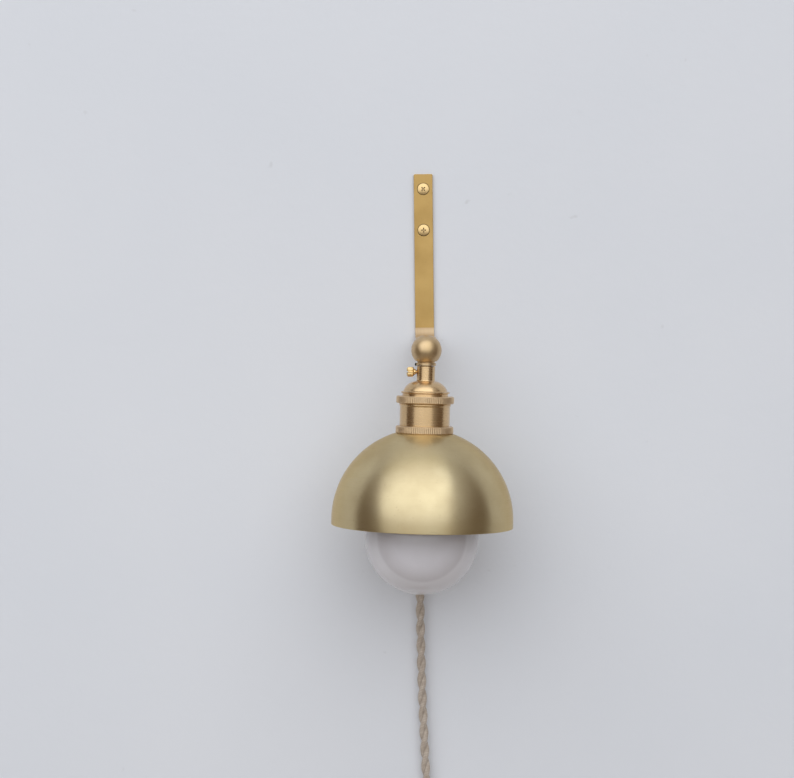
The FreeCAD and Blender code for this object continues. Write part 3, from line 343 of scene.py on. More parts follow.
round_edges(bar, sharp_edges(bar, 40), BAR_EDGE)


def spin_round(bm, steps=96, turns=1.0, pitch=0.0):
    """Turns everything drawn so far about the Z axis, with a rise to each turn where it is a thread."""
    count = round(steps * turns)
    bmesh.ops.spin(bm, geom=bm.verts[:] + bm.edges[:], cent=(0, 0, 0), axis=(0, 0, 1),
                   dvec=(0, 0, pitch / steps), angle=2 * math.pi * turns, steps=count,
                   use_merge=not pitch, use_duplicate=False)
    bmesh.ops.remove_doubles(bm, verts=bm.verts[:], dist=1e-4)


def turned_form(corners, soft=0.2, steps=96):
    """A lathe-turned form about the Z axis, from the (radius, up) corners of half its section."""
    bm = bmesh.new()
    trace(bm, corners)
    soften_corners(bm, soft)
    on_axis = [e for e in bm.edges if all(abs(v.co.x) < 1e-4 for v in e.verts)]
    bmesh.ops.delete(bm, geom=on_axis, context="EDGES")
    spin_round(bm, steps)
    bmesh.ops.recalc_face_normals(bm, faces=bm.faces[:])
    return bm


def put(bm, place):
    """Moves a form from its own axis to its place, in millimetres."""
    bmesh.ops.transform(bm, matrix=place, verts=bm.verts[:])
    return bm


def plain_ring(inner, outer, start, end, soft=0.2, steps=64):
    """A ring of square section about the Z axis."""
    return turned_form([(inner, start), (outer, start), (outer, end), (inner, end)], soft, steps)


def drill_form(radius, start, end, steps=48):
    """A round cutter about the Z axis."""
    return plain_ring(0.0, radius, start, end, 0.0, steps)


def cut_away(bm, tool):
    """Cuts a tool's form out of a piece."""
    pair = []
    for form in (bm, tool):
        mesh = bpy.data.meshes.new("blank")
        form.to_mesh(mesh)
        pair.append(new_object("blank", mesh))
    tool.free()
    cut = pair[0].modifiers.new("cut", "BOOLEAN")
    cut.operation, cut.solver, cut.object = "DIFFERENCE", "EXACT", pair[1]
    finished = pair[0].evaluated_get(bpy.context.evaluated_depsgraph_get())
    result = bpy.data.meshes.new_from_object(finished)
    bm.clear()
    bm.from_mesh(result)
    bmesh.ops.remove_doubles(bm, verts=bm.verts[:], dist=1e-4)
    bmesh.ops.holes_fill(bm, edges=[e for e in bm.edges if e.is_boundary], sides=8)
    for item in (result, *[blank.data for blank in pair]):
        bpy.data.meshes.remove(item)


# The countersunk screw holes in the wall leg, and the nipple's hole in the tab.
THROUGH_WALL = Matrix.Rotation(math.radians(-90), 4, "X")
for up in (SCREW_UP, -SCREW_UP):
    sink = turned_form([(0.0, -1.0), (SINK_WIDE, -1.0), (SINK_NARROW, BAR_THICK + 0.2),
                        (SINK_NARROW, BAR_THICK + 1.0), (0.0, BAR_THICK + 1.0)], 0.0, 48)
    cut_away(bar, put(sink, Matrix.Translation((0, -BAR_THICK, up)) @ THROUGH_WALL))
cut_away(bar, put(drill_form(TUBE_FIT, -2.0, 6.0),
                  Matrix.Translation((0, -TAB_BACK - BAR_THICK, -BALL_DROP)) @ THROUGH_WALL))
stand_in(bar, "wall_bracket_bar", brass_strip, "brass_strip", "bracket", "wall_bracket")

# ---------------------------------------------------------------------------------------------
# Wall screws. Two raised countersunk wood screws with cross recesses, brassed to match the bar. The
# upper one stopped at an eighth of a turn, the lower one upright.

HEAD, DOME, SHANK = 5.0, 0.55, 2.1
SCREW_END, POINT, PLAIN_END, SCREW_PITCH = 33.0, 7.0, 13.0, 1.8
RECESS_SPAN, RECESS_WIDTH, RECESS_DEEP = 5.6, 1.3, 1.9


def box_form(size, place):
    """A box of a width, depth and height, about its place."""
    box = bmesh.new()
    bmesh.ops.create_cube(box, size=1.0, matrix=place @ Matrix.Diagonal((*size, 1.0)))
    return box


def join(bm, other):
    """Adds a form to another as a solid of its own."""
    mesh = mesh_of(other, "joined")
    bm.from_mesh(mesh)
    bpy.data.meshes.remove(mesh)


def add_thread(bm, root, crest, pitch, low, high, steps=36):
    """Adds a screw thread's ridge between two heights."""
    ridge = bmesh.new()
    foot = [ridge.verts.new(p) for p in ((root - 0.05, 0, low), (root - 0.05, 0, low + pitch * 0.86),
                                         (crest, 0, low + pitch * 0.5), (crest, 0, low + pitch * 0.36))]
    for one, two in zip(foot, foot[1:] + foot[:1]):
        ridge.edges.new((one, two))
    spin_round(ridge, steps, (high - low - pitch) / pitch, pitch)
    ends = [e for e in ridge.edges if e.is_boundary]
    bmesh.ops.edgenet_fill(ridge, edges=ends)
    bmesh.ops.recalc_face_normals(ridge, faces=ridge.faces[:])
    join(bm, ridge)


def in_the_open(tree, reach, low, high):
    """How open a place is, from 0 in a hollow to 1, as seen from within a reach in millimetres."""
    node = tree.nodes.new("ShaderNodeAmbientOcclusion")
    feed_named(tree, node, Distance=reach * MM)
    return between(tree, node.outputs["AO"], low, high)


brassed_screw, tree, shader = new_material("brassed_screw")
place = object_place(tree)
face = metal_face(tree, shader, place, stretched(tree, place, (900.0, 900.0, 900.0)), (0.70, 0.50, 0.24, 1),
                  (0.62, 0.43, 0.19, 1), 0.30, 0.008)
# The cross recesses and the gaps round the heads are painted dark: painted shade in the hollows.
recess_painted_shade = mixed(tree, in_the_open(tree, 1.2, 0.3, 0.9), (0.12, 0.07, 0.035, 1), face["Colour"])
feed_named(tree, shader, Base_Color=recess_painted_shade)


def wall_screw_form():
    """The screw with its point along +Z and the rim of its head in the plane of the bar."""
    crown = (HEAD * HEAD + DOME * DOME) / (2 * DOME)
    root = SHANK * 0.72
    screw = turned_form([
        (0.0, SCREW_END), (0.25, SCREW_END), (root, SCREW_END - POINT), (root, PLAIN_END + 1.0),
        (SHANK, PLAIN_END), (SHANK, HEAD - SHANK), (HEAD, 0.0), (0.0, -DOME, -crown)], soft=0.15, steps=64)
    for size in ((RECESS_SPAN, RECESS_WIDTH), (RECESS_WIDTH, RECESS_SPAN)):
        slot = box_form((*size, 2 * RECESS_DEEP), Matrix())
        bottom = [v for v in slot.verts if v.co.z > 0]
        bmesh.ops.scale(slot, vec=(0.55, 0.55, 1.0), verts=bottom)
        bmesh.ops.translate(slot, vec=(0, 0, -DOME), verts=slot.verts[:])
        cut_away(screw, slot)
    add_thread(screw, SHANK * 0.7, SHANK, SCREW_PITCH, PLAIN_END, SCREW_END - POINT + 2.0, 24)
    return screw


screws = bmesh.new()
for up, turn in ((SCREW_UP, 45.0), (-SCREW_UP, 0.0)):
    screw = put(wall_screw_form(), Matrix.Translation((0, -BAR_THICK, up)) @ THROUGH_WALL
                @ Matrix.Rotation(math.radians(turn), 4, "Z"))
    join(screws, screw)
stand_in(screws, "wall_screw_pair", brassed_screw, "brassed_screw", "bracket", "wall_screws")

# ---------------------------------------------------------------------------------------------
# Swivel ball and its stem. A hollow ball with a cove and a collar, turned from brass rod in one piece
# and faced flat where it is clamped to the tab. The lamp leans 2 degrees to the left below it.

BALL_AT = Vector((0.0, -94.0, -BALL_DROP))
LEAN = math.radians(2.0)
BALL, BALL_SEAT, BALL_CAVITY = 12.7, 11.2, 8.6
COLLAR, COLLAR_TOP, COLLAR_FOOT = 8.3, 10.3, 12.9
TUBE, TUBE_BORE, TUBE_PITCH = 4.85, 3.6, 0.94
GRUB, GRUB_TIP, GRUB_DOWN = 1.2, 9.3, 11.95
STEM_TOP, STEM_FOOT = 7.3, 22.3
LAMP = Matrix.Translation(BALL_AT) @ Matrix.Rotation(LEAN, 4, "Y")
LAMP_FRAME = Matrix.Translation(BALL_AT * MM) @ Matrix.Rotation(LEAN, 4, "Y")
TOWARD_WALL = Matrix.Translation(BALL_AT) @ THROUGH_WALL
TOWARD_WALL_FRAME = Matrix.Translation(BALL_AT * MM) @ THROUGH_WALL
SIDEWAYS = Matrix.Rotation(math.radians(-90), 4, "Y")

# How a lathe marks a piece: fine rings, which follow the distance from the axis and along it.
lathe_lines, line_in, line_out = shader_group(
    "lathe_lines", [("Place", "vector"), ("Lines to a Metre", "number")], [("Lines", "vector")])
across, deep, up = axes(lathe_lines, line_in["Place"])
radius = maths(lathe_lines, "SQRT", maths(lathe_lines, "MULTIPLY_ADD", across, across,
                                          maths(lathe_lines, "MULTIPLY", deep, deep)))
turn_angle = maths(lathe_lines, "ARCTAN2", deep, across)
rings = lathe_lines.nodes.new("ShaderNodeCombineXYZ")
feed(lathe_lines, rings.inputs[0], maths(lathe_lines, "MULTIPLY", radius, line_in["Lines to a Metre"]))
feed(lathe_lines, rings.inputs[1], maths(lathe_lines, "MULTIPLY", up, line_in["Lines to a Metre"]))
feed(lathe_lines, rings.inputs[2], maths(lathe_lines, "SINE", turn_angle))
feed(lathe_lines, line_out["Lines"], rings.outputs[0])


def turned_metal(name, own_frame, pale, deep, dullness, lines=3200.0, depth=0.010, axis="Z", streak=0.7,
                 lacquer=0.15):
    """Metal with the rings of the lathe: its shine is drawn out across them."""
    material, tree, shader = new_material(name)
    place = object_place(tree, own_frame)
    marks = placed_group(tree, lathe_lines, Place=place, Lines_to_a_Metre=lines)
    metal_face(tree, shader, place, marks["Lines"], pale, deep, dullness, depth)
    feed_named(tree, shader, Coat_Weight=lacquer, Coat_Roughness=0.25)
    if streak:
        tangent = tree.nodes.new("ShaderNodeTangent")
        tangent.direction_type, tangent.axis = "RADIAL", axis
        feed_named(tree, shader, Tangent=tangent.outputs[0], Anisotropic=streak, Anisotropic_Rotation=0.25)
    return material


PALE_BRASS, DEEP_BRASS = (0.68, 0.48, 0.265, 1), (0.59, 0.40, 0.20, 1)
turned_brass = turned_metal("turned_brass", LAMP_FRAME, PALE_BRASS, DEEP_BRASS, 0.26,
                            depth=0.0008, streak=0.8)
ball_brass = turned_metal("ball_brass", LAMP_FRAME, (0.64, 0.47, 0.28, 1), (0.56, 0.40, 0.21, 1), 0.37,
                          depth=0.002, streak=0.25)
clamp_brass = turned_metal("clamp_brass", TOWARD_WALL_FRAME, PALE_BRASS, DEEP_BRASS, 0.32, axis="Y")

waist = COLLAR_TOP - 1.2
ball = turned_form([
    (0.0, -COLLAR_FOOT), (COLLAR, -COLLAR_FOOT), (COLLAR, -COLLAR_TOP - 0.9),
    (COLLAR - 1.1, -COLLAR_TOP, 1.6), (math.sqrt(BALL * BALL - waist * waist), -waist, -1.3),
    (0.0, BALL, BALL)], soft=0.25, steps=128)
cut_away(ball, turned_form([
    (0.0, -COLLAR_FOOT - 1.0), (TUBE_FIT, -COLLAR_FOOT - 1.0),
    (TUBE_FIT, -math.sqrt(BALL_CAVITY ** 2 - TUBE_FIT ** 2)), (0.0, BALL_CAVITY, BALL_CAVITY)], 0.0, 64))
cut_away(ball, box_form((30.0, 30.0, 30.0), Matrix.Translation((0, BALL_SEAT + 15.0, 0))))
cut_away(ball, put(drill_form(TUBE_FIT, 0.0, 14.0), THROUGH_WALL))
GRUB_PLACE = Matrix.Translation((0, 0, -GRUB_DOWN)) @ SIDEWAYS
cut_away(ball, put(drill_form(GRUB + 0.05, 5.0, 14.0, 24), GRUB_PLACE))
stand_in(put(ball, LAMP), "swivel_ball_form", ball_brass, "turned_brass", "ball", "swivel_ball")


def threaded_tube_form(start, end):
    """A hollow tube with a fine thread from end to end, as lamp nipples have."""
    root = TUBE - 0.45
    tube = turned_form([(TUBE_BORE, start), (root - 0.2, start), (root, start + 0.2), (root, end - 0.2),
                        (root - 0.2, end), (TUBE_BORE, end)], soft=0.0, steps=36)
    add_thread(tube, root, TUBE, TUBE_PITCH, start, end)
    return tube


stand_in(put(threaded_tube_form(-STEM_FOOT, -STEM_TOP), LAMP), "stem_nipple_thread", turned_brass,
         "turned_brass", "ball", "stem_nipple")


def varied(tree, place, grain, low, high):
    """A value that varies between two over a grain."""
    return between(tree, noise(tree, place, grain), 0.3, 0.7, low, high)


def clouded_material(name, clouds, tones, grain, dullness, bumps=0.0, depth=0.0, spread=(0.0, 1.0),
                     metallic=0.0):
    """A material that drifts between two tones, with a roughness that varies over a finer grain."""
    material, tree, shader = new_material(name)
    place = object_place(tree)
    drift = between(tree, noise(tree, place, clouds), *spread)
    feed_named(tree, shader, Base_Color=mixed(tree, drift, *tones), Metallic=metallic,
               Roughness=varied(tree, place, grain, *dullness))
    if bumps:
        feed_named(tree, shader, Normal=bumped(tree, noise(tree, place, bumps), depth))
    return material


black_steel = clouded_material("black_steel", 1500.0, ((0.010, 0.010, 0.011, 1), (0.035, 0.033, 0.032, 1)),
                               2400.0, (0.35, 0.6), metallic=0.6)
grub = turned_form([
    (GRUB, 5.05), (GRUB, GRUB_TIP - 0.3), (GRUB - 0.3, GRUB_TIP), (GRUB * 0.5, GRUB_TIP),
    (GRUB * 0.5, GRUB_TIP - 1.2), (0.0, GRUB_TIP - 1.2), (0.0, 5.05)], soft=0.08, steps=24)
stand_in(put(grub, LAMP @ GRUB_PLACE), "grub_screw_form", black_steel, "black_steel", "ball", "grub_screw")

# ---------------------------------------------------------------------------------------------
# Clamp. A threaded nipple runs from the ball through the tab. A brass washer, a nickelled lock washer
# and a hexagon nut hold it, and a turned grip screws on its tail and closes on the cord.

WASHER, WASHER_THICK, LOCK_THICK, TEETH = 6.6, 0.8, 1.0, 12
NUT_FLATS, NUT_THICK = 13.0, 3.5
TAB_REAR = 15.0
NUT_START, GRIP_START, GRIP_END = 16.0, 19.5, 37.5
GRIP_WIDE, GRIP_NARROW, GRIP_BORE = 7.0, 4.9, 2.9
NIPPLE_START, NIPPLE_END = 7.6, 27.5

stand_in(put(threaded_tube_form(NIPPLE_START, NIPPLE_END), TOWARD_WALL), "side_nipple_thread", clamp_brass,
         "turned_brass", "bracket", "side_nipple")
washer = plain_ring(TUBE_FIT, WASHER, BALL_SEAT, BALL_SEAT + WASHER_THICK)
stand_in(put(washer, TOWARD_WALL), "ball_washer_form", clamp_brass, "turned_brass", "bracket", "ball_washer")

PALE_NICKEL = (0.68, 0.66, 0.62, 1)
nickel_steel = turned_metal("nickel_steel", TOWARD_WALL_FRAME, PALE_NICKEL, (0.50, 0.48, 0.45, 1), 0.28,
                            axis="Y", streak=0.0, lacquer=0.0)
lock_washer = plain_ring(TUBE_FIT, WASHER, TAB_REAR, TAB_REAR + LOCK_THICK)
notch_at = Matrix.Translation((WASHER, 0, TAB_REAR + LOCK_THICK / 2))
for tooth in range(TEETH):
    notch_place = Matrix.Rotation(tooth * math.tau / TEETH, 4, "Z") @ notch_at @ Matrix.Rotation(0.5, 4, "Z")
    cut_away(lock_washer, box_form((1.6, 0.7, 3.0), notch_place))
stand_in(put(lock_washer, TOWARD_WALL), "lock_washer_teeth", nickel_steel, "nickel_steel", "bracket",
         "lock_washer")

nut = bmesh.new()
bmesh.ops.create_cone(nut, cap_ends=True, segments=6, radius1=NUT_FLATS / math.sqrt(3),
                      radius2=NUT_FLATS / math.sqrt(3), depth=NUT_THICK,
                      matrix=Matrix.Translation((0, 0, NUT_START + NUT_THICK / 2)))
round_edges(nut, nut.edges[:], 0.25)
half = NUT_FLATS / 2
# Both faces are chamfered at 30 degrees, down to the circle that the flats touch.
for side, face_at in ((1, NUT_START + NUT_THICK), (-1, NUT_START)):
    beyond = face_at + side * 2.0
    cut_away(nut, turned_form([(half, face_at), (half + 3.0, face_at - side * 1.73), (half + 3.0, beyond),
                               (half, beyond)], 0.0, 64))
cut_away(nut, drill_form(TUBE_FIT, NUT_START - 1.0, NUT_START + 5.0))
stand_in(put(nut, TOWARD_WALL), "lock_nut_hexagon", clamp_brass, "turned_brass", "bracket", "lock_nut")

grip = turned_form([
    (TUBE_FIT, GRIP_START), (GRIP_WIDE - 0.5, GRIP_START), (GRIP_WIDE, GRIP_START + 0.5),
    (GRIP_WIDE, GRIP_START + 4.0), (GRIP_WIDE - 0.8, GRIP_START + 4.6), (GRIP_NARROW + 0.5, GRIP_END - 2.2),
    (GRIP_NARROW + 0.5, GRIP_END - 0.4), (GRIP_NARROW, GRIP_END), (GRIP_BORE, GRIP_END),
    (GRIP_BORE, NIPPLE_END + 0.2), (TUBE_FIT, NIPPLE_END + 0.2)], soft=0.2, steps=64)
stand_in(put(grip, TOWARD_WALL), "cord_grip_form", clamp_brass, "turned_brass", "bracket", "cord_grip")

lead_cover = clouded_material("lead_cover", 400.0, ((0.52, 0.38, 0.22, 1), (0.66, 0.50, 0.32, 1)), 900.0,
                              (0.38, 0.55), 700.0, 0.03)


def paint(material, *nodes):
    """Gives a material to CAD nodes that are shown as they are."""
    for name in nodes:
        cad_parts[name].material_slots[0].material = material


paint(lead_cover, "cord_leads", "holder_leads")

# ---------------------------------------------------------------------------------------------
# Cap of the lamp holder. Neck, domed shoulder, rolled lip and threaded skirt are turned from one piece
# of brass. The neck turns on the stem, and the thumb screw in its left side holds it.

NECK, NECK_TOP, NECK_FOOT = 7.6, 13.3, 25.7
DOME_RADIUS, DOME_FOOT, DOME_CURVE, CAP_WALL = 18.4, 34.1, 12.6, 1.5
LIP, LIP_FOOT, GROOVE = 20.3, 35.7, 19.0
SKIRT, SKIRT_TOP, SKIRT_FOOT = 19.4, 38.3, 51.7
THUMB_AT, THUMB_SHANK = 18.3, 1.6
NECK_BORE = 4.95

cap = turned_form([
    (NECK_BORE, -NECK_TOP), (NECK_BORE, -NECK_FOOT + 0.6), (NECK_BORE + 1.2, -NECK_FOOT - CAP_WALL),
    (DOME_RADIUS - CAP_WALL - 0.2, -DOME_FOOT, CAP_WALL - DOME_CURVE),
    (SKIRT - CAP_WALL, -LIP_FOOT), (SKIRT - CAP_WALL, -SKIRT_FOOT), (SKIRT, -SKIRT_FOOT), (SKIRT, -SKIRT_TOP),
    (GROOVE, -SKIRT_TOP), (GROOVE, -LIP_FOOT - 0.3), (LIP, -LIP_FOOT + 0.1), (LIP - 0.1, -DOME_FOOT - 0.5),
    (DOME_RADIUS, -DOME_FOOT), (NECK + 0.5, -NECK_FOOT, DOME_CURVE), (NECK, -NECK_FOOT + 0.6),
    (NECK, -NECK_TOP - 0.4), (NECK - 0.4, -NECK_TOP)], soft=0.25, steps=160)
THUMB_PLACE = Matrix.Translation((0, 0, -THUMB_AT)) @ SIDEWAYS
cut_away(cap, put(drill_form(THUMB_SHANK + 0.05, 0.0, 10.0, 24), THUMB_PLACE))
stand_in(put(cap, LAMP), "socket_cap_form", turned_brass, "turned_brass", "holder", "socket_cap")

# ---------------------------------------------------------------------------------------------
# Thumb screw. A small bright brass screw with a knurled and slotted head. It is threaded through the
# neck's left side, where a hand or a coin turns it against the stem.

THUMB_HEAD, THUMB_SHOULDER, THUMB_START, THUMB_END, THUMB_TIP = 4.1, 8.4, 9.9, 16.1, 5.0
THUMB_KNURLS, THUMB_CUT, THUMB_SLOT, THUMB_CHAMFER = 18, 0.35, 1.0, 1.1


def milled_form(inner, outer, low, high, chamfer, count, cut):
    """A ring or disc with chamfered rims and straight grooves all round its edge.

    It is drawn as one pitch of the edge, which the spin repeats.
    """
    pitch = math.tau / count
    groove = pitch * 0.32
    bm = bmesh.new()
    rims = ((inner, low), (outer - chamfer, low), (outer, low + chamfer), (outer, high - chamfer),
            (outer - chamfer, high), (inner, high))
    columns = []
    for angle, deep in ((0.0, 0.0), (pitch / 2 - groove, 0.0), (pitch / 2, cut), (pitch / 2 + groove, 0.0),
                        (pitch, 0.0)):
        column = []
        for radius, up in rims:
            edge = min(radius, outer - deep) if radius > inner else radius
            column.append(bm.verts.new((edge * math.cos(angle), edge * math.sin(angle), up)))
        pairs = list(zip(column, column[1:])) + ([(column[-1], column[0])] if inner else [])
        columns.append([bm.edges.new(pair) for pair in pairs])
    for one, two in zip(columns, columns[1:]):
        for left, right in zip(one, two):
            bmesh.ops.contextual_create(bm, geom=[left, right])
    wedge = bm.verts[:] + bm.edges[:] + bm.faces[:]
    bmesh.ops.spin(bm, geom=wedge, cent=(0, 0, 0), axis=(0, 0, 1), dvec=(0, 0, 0),
                   angle=math.tau * (count - 1) / count, steps=count - 1, use_duplicate=True)
    bmesh.ops.remove_doubles(bm, verts=bm.verts[:], dist=1e-3)
    bmesh.ops.recalc_face_normals(bm, faces=bm.faces[:])
    return bm


bright_brass = turned_metal("bright_brass", LAMP_FRAME, (0.86, 0.66, 0.34, 1), (0.74, 0.52, 0.24, 1), 0.16,
                            lines=2400.0, depth=0.006, streak=0.0, lacquer=0.1)
thumb_root, thumb_collar = THUMB_SHANK - 0.3, THUMB_SHANK + 0.8
thumb = turned_form([
    (0.0, THUMB_TIP), (thumb_root, THUMB_TIP), (thumb_root, THUMB_SHOULDER),
    (thumb_collar, THUMB_SHOULDER + 0.3), (thumb_collar, THUMB_START), (0.0, THUMB_START)],
    soft=0.15, steps=40)
add_thread(thumb, thumb_root, THUMB_SHANK, 0.6, THUMB_TIP, THUMB_SHOULDER + 0.6, 24)
head = milled_form(0.0, THUMB_HEAD, THUMB_START, THUMB_END - 0.2, THUMB_CHAMFER, THUMB_KNURLS, THUMB_CUT)
cut_away(head, box_form((THUMB_SLOT, 12.0, 3.0), Matrix.Translation((0, 0, THUMB_END + 0.3))))
join(thumb, head)
stand_in(put(thumb, LAMP @ THUMB_PLACE), "thumb_screw_knurled", bright_brass, "turned_brass", "thumb_screw",
         "thumb_screw")

# ---------------------------------------------------------------------------------------------
# Milled rings. Three threaded brass rings with a straight milled edge: one locks the cap to the shell,
# and two clamp the shade's flat between them. Each is loosened by hand.

RING, RING_CHAMFER, KNURLS, KNURL_CUT = 24.0, 0.7, 90, 0.24
CAP_RING_FOOT, SHELL_STEP = 44.3, 63.15
UPPER_RING, SHADE_RING_HEIGHT = 63.2, 6.2
LOWER_RING, INNER_RING_HEIGHT = 70.5, 5.0
RING_BORE, CAP_RING_BORE = 20.25, 19.45

milled_brass = turned_metal("milled_brass", LAMP_FRAME, (0.74, 0.545, 0.33, 1), (0.66, 0.465, 0.26, 1), 0.34,
                            depth=0.0015, streak=0.5)
for name, top, tall, bore in (
        ("cap_ring", SKIRT_TOP, CAP_RING_FOOT - SKIRT_TOP, CAP_RING_BORE),
        ("upper_shade_ring", UPPER_RING, SHADE_RING_HEIGHT, RING_BORE),
        ("lower_shade_ring", LOWER_RING, INNER_RING_HEIGHT, RING_BORE)):
    ring = milled_form(bore, RING, -top - tall, -top, RING_CHAMFER, KNURLS, KNURL_CUT)
    stand_in(put(ring, LAMP), name + "_milled", milled_brass, "turned_brass", name, name)

# ---------------------------------------------------------------------------------------------
# Shell of the lamp holder. A bead at its top, a smooth barrel, and a threaded tail that passes through
# the shade's hole and takes the two shade rings. Turned brass.

BARREL, BEAD, BEAD_HEIGHT = 20.9, 21.5, 2.4
SHELL_TOP, SHELL_FOOT = 44.35, 89.65
SHELL_THREAD, SHELL_PITCH, SHELL_LIP, SHELL_BORE, SEAT_BORE = 20.2, 1.5, 16.6, 18.8, 19.45

shell_root = SHELL_THREAD - 0.6
bead_foot = SHELL_TOP + BEAD_HEIGHT
shell = turned_form([
    (SEAT_BORE, -SHELL_TOP), (BEAD - 0.5, -SHELL_TOP), (BEAD, -SHELL_TOP - 0.5), (BEAD, -bead_foot + 0.7),
    (BARREL, -bead_foot), (BARREL, -SHELL_STEP), (shell_root, -SHELL_STEP), (shell_root, -SHELL_FOOT + 0.5),
    (shell_root - 0.4, -SHELL_FOOT), (SHELL_LIP, -SHELL_FOOT), (SHELL_LIP, -SHELL_FOOT + 1.4),
    (SHELL_BORE, -SHELL_FOOT + 1.4), (SHELL_BORE, -SKIRT_FOOT - 0.4), (SEAT_BORE, -SKIRT_FOOT - 0.4)],
    soft=0.3, steps=160)
add_thread(shell, shell_root, SHELL_THREAD, SHELL_PITCH, -SHELL_FOOT + 0.3, -SHELL_STEP, 72)
stand_in(put(shell, LAMP), "socket_body_form", turned_brass, "turned_brass", "holder", "socket_body")

# ---------------------------------------------------------------------------------------------
# Shade. A half-round of 1 mm brass, spun over a form, with a flat seat round its hole and a short
# straight skirt at the rim. Brushed round, inside and out.

SHADE, SHADE_WALL, SHADE_FLAT, SHADE_SKIRT = 75.8, 1.0, 24.6, 5.2
SHADE_SEAT, SHADE_HOLE = 69.45, 20.5

spun_brass = turned_metal("spun_brass", LAMP_FRAME, (0.59, 0.475, 0.25, 1), (0.53, 0.41, 0.20, 1), 0.33,
                          lines=2200.0, depth=0.003, streak=0.78, lacquer=0.3)
tree = spun_brass.node_tree
feed_named(tree, tree.nodes["Principled BSDF"], Coat_IOR=3.0, Coat_Roughness=0.26,
           Specular_Tint=(0.86, 0.74, 0.52, 1))
rise = math.sqrt(SHADE ** 2 - SHADE_FLAT ** 2)
shade_middle = SHADE_SEAT + rise
inside = SHADE - SHADE_WALL
rim = shade_middle + SHADE_SKIRT
shade = turned_form([
    (SHADE_HOLE, -SHADE_SEAT), (SHADE_HOLE, -SHADE_SEAT - SHADE_WALL),
    (math.sqrt(inside ** 2 - (rise - SHADE_WALL) ** 2), -SHADE_SEAT - SHADE_WALL),
    (inside, -shade_middle, -inside), (inside, -rim), (SHADE, -rim), (SHADE, -shade_middle),
    (SHADE_FLAT, -SHADE_SEAT, SHADE)], soft=0.4, steps=256)
stand_in(put(shade, LAMP), "dome_shade_spun", spun_brass, "spun_brass", "holder", "dome_shade")

# ---------------------------------------------------------------------------------------------
# Inside the lamp holder. A glazed porcelain core carries the brass screw shell, the tongue that meets
# the bulb's tip, and two nickelled terminal screws.

CORE, CORE_TOP, CORE_FLOOR, CORE_BORE = 18.5, 53.2, 60.0, 14.1
SCREW_SHELL, SCREW_SHELL_WALL, SCREW_SHELL_LENGTH, BULB_PITCH, ROLL_DEEP = 13.9, 0.4, 24.0, 3.6, 0.7
TERMINAL, TERMINAL_HEIGHT, TERMINAL_OUT = 2.9, 2.8, 10.0

porcelain = clouded_material("porcelain", 120.0, ((0.80, 0.78, 0.72, 1), (0.88, 0.87, 0.83, 1)), 300.0,
                             (0.12, 0.24), 260.0, 0.05, spread=(0.35, 0.65))
core = turned_form([
    (0.0, -CORE_TOP), (0.0, -CORE_FLOOR), (CORE_BORE, -CORE_FLOOR), (CORE_BORE, -SHELL_FOOT + 1.6),
    (CORE, -SHELL_FOOT + 1.6), (CORE, -CORE_TOP - 0.8), (CORE - 0.8, -CORE_TOP)], soft=0.4, steps=96)
stand_in(put(core, LAMP), "socket_insert_glazed", porcelain, "porcelain", "holder", "socket_insert")


def rolled_thread(radius, depth, pitch, low, turns, wall, steps=48):
    """A thread rolled into a thin sleeve: one wave of the wall, wound upwards turn after turn."""
    sleeve = bmesh.new()
    wave = [sleeve.verts.new((radius - depth * (0.5 + 0.5 * math.cos(math.tau * i / 8)), 0,
                              low + pitch * i / 8)) for i in range(9)]
    for one, two in zip(wave, wave[1:]):
        sleeve.edges.new((one, two))
    spin_round(sleeve, steps, turns, pitch)
    bmesh.ops.recalc_face_normals(sleeve, faces=sleeve.faces[:])
    if sum(f.normal.dot(Vector((*f.calc_center_median().xy, 0)).normalized()) for f in sleeve.faces) < 0:
        bmesh.ops.reverse_faces(sleeve, faces=sleeve.faces[:])
    bmesh.ops.solidify(sleeve, geom=sleeve.faces[:], thickness=wall)
    return sleeve


sleeve = rolled_thread(SCREW_SHELL, ROLL_DEEP, BULB_PITCH, -CORE_FLOOR - SCREW_SHELL_LENGTH, 5.6,
                       SCREW_SHELL_WALL)
seat = turned_form([(9.0, -CORE_FLOOR), (9.0, -CORE_FLOOR - 0.4), (SCREW_SHELL - 0.4, -CORE_FLOOR - 0.4),
                    (SCREW_SHELL, -CORE_FLOOR)], soft=0.1, steps=64)
join(sleeve, seat)
stand_in(put(sleeve, LAMP), "screw_shell_rolled", bright_brass, "bright_brass", "holder", "screw_shell")
paint(bright_brass, "centre_contact")

terminal_nickel = turned_metal("terminal_nickel", LAMP_FRAME, (0.70, 0.68, 0.64, 1), (0.52, 0.50, 0.47, 1),
                               0.24, streak=0.0, lacquer=0.0)
head_top, head_foot = TERMINAL_HEIGHT - CORE_TOP, -CORE_TOP + 0.9
terminals = bmesh.new()
for side in (-1, 1):
    terminal = turned_form([
        (0.0, head_top), (0.0, -CORE_TOP), (TERMINAL * 0.6, -CORE_TOP), (TERMINAL * 0.6, head_foot),
        (TERMINAL, head_foot), (TERMINAL, head_top)], soft=0.25, steps=36)
    slot_place = Matrix.Translation((0, 0, head_top + 0.5)) @ Matrix.Rotation(0.4 * side, 4, "Z")
    cut_away(terminal, box_form((0.8, 8.0, 2.0), slot_place))
    join(terminals, put(terminal, Matrix.Translation((TERMINAL_OUT * side, 0, 0))))
stand_in(put(terminals, LAMP), "terminal_screw_pair", terminal_nickel, "nickel_steel", "holder",
         "terminal_screws")

# ---------------------------------------------------------------------------------------------
# Bulb. A blown opal globe on a nickelled screw cap, with a black glass insulator and a tin-dipped tip.
# Inside are a clear stem and four light filaments.

GLOBE, GLOBE_WALL, BULB_NECK, BULB_FILLET = 47.5, 0.9, 16.5, 20.0
CAP_FOOT, NECK_STRAIGHT = 91.2, 8.3
BULB_CAP, BULB_CAP_SKIN = 13.1, 0.4

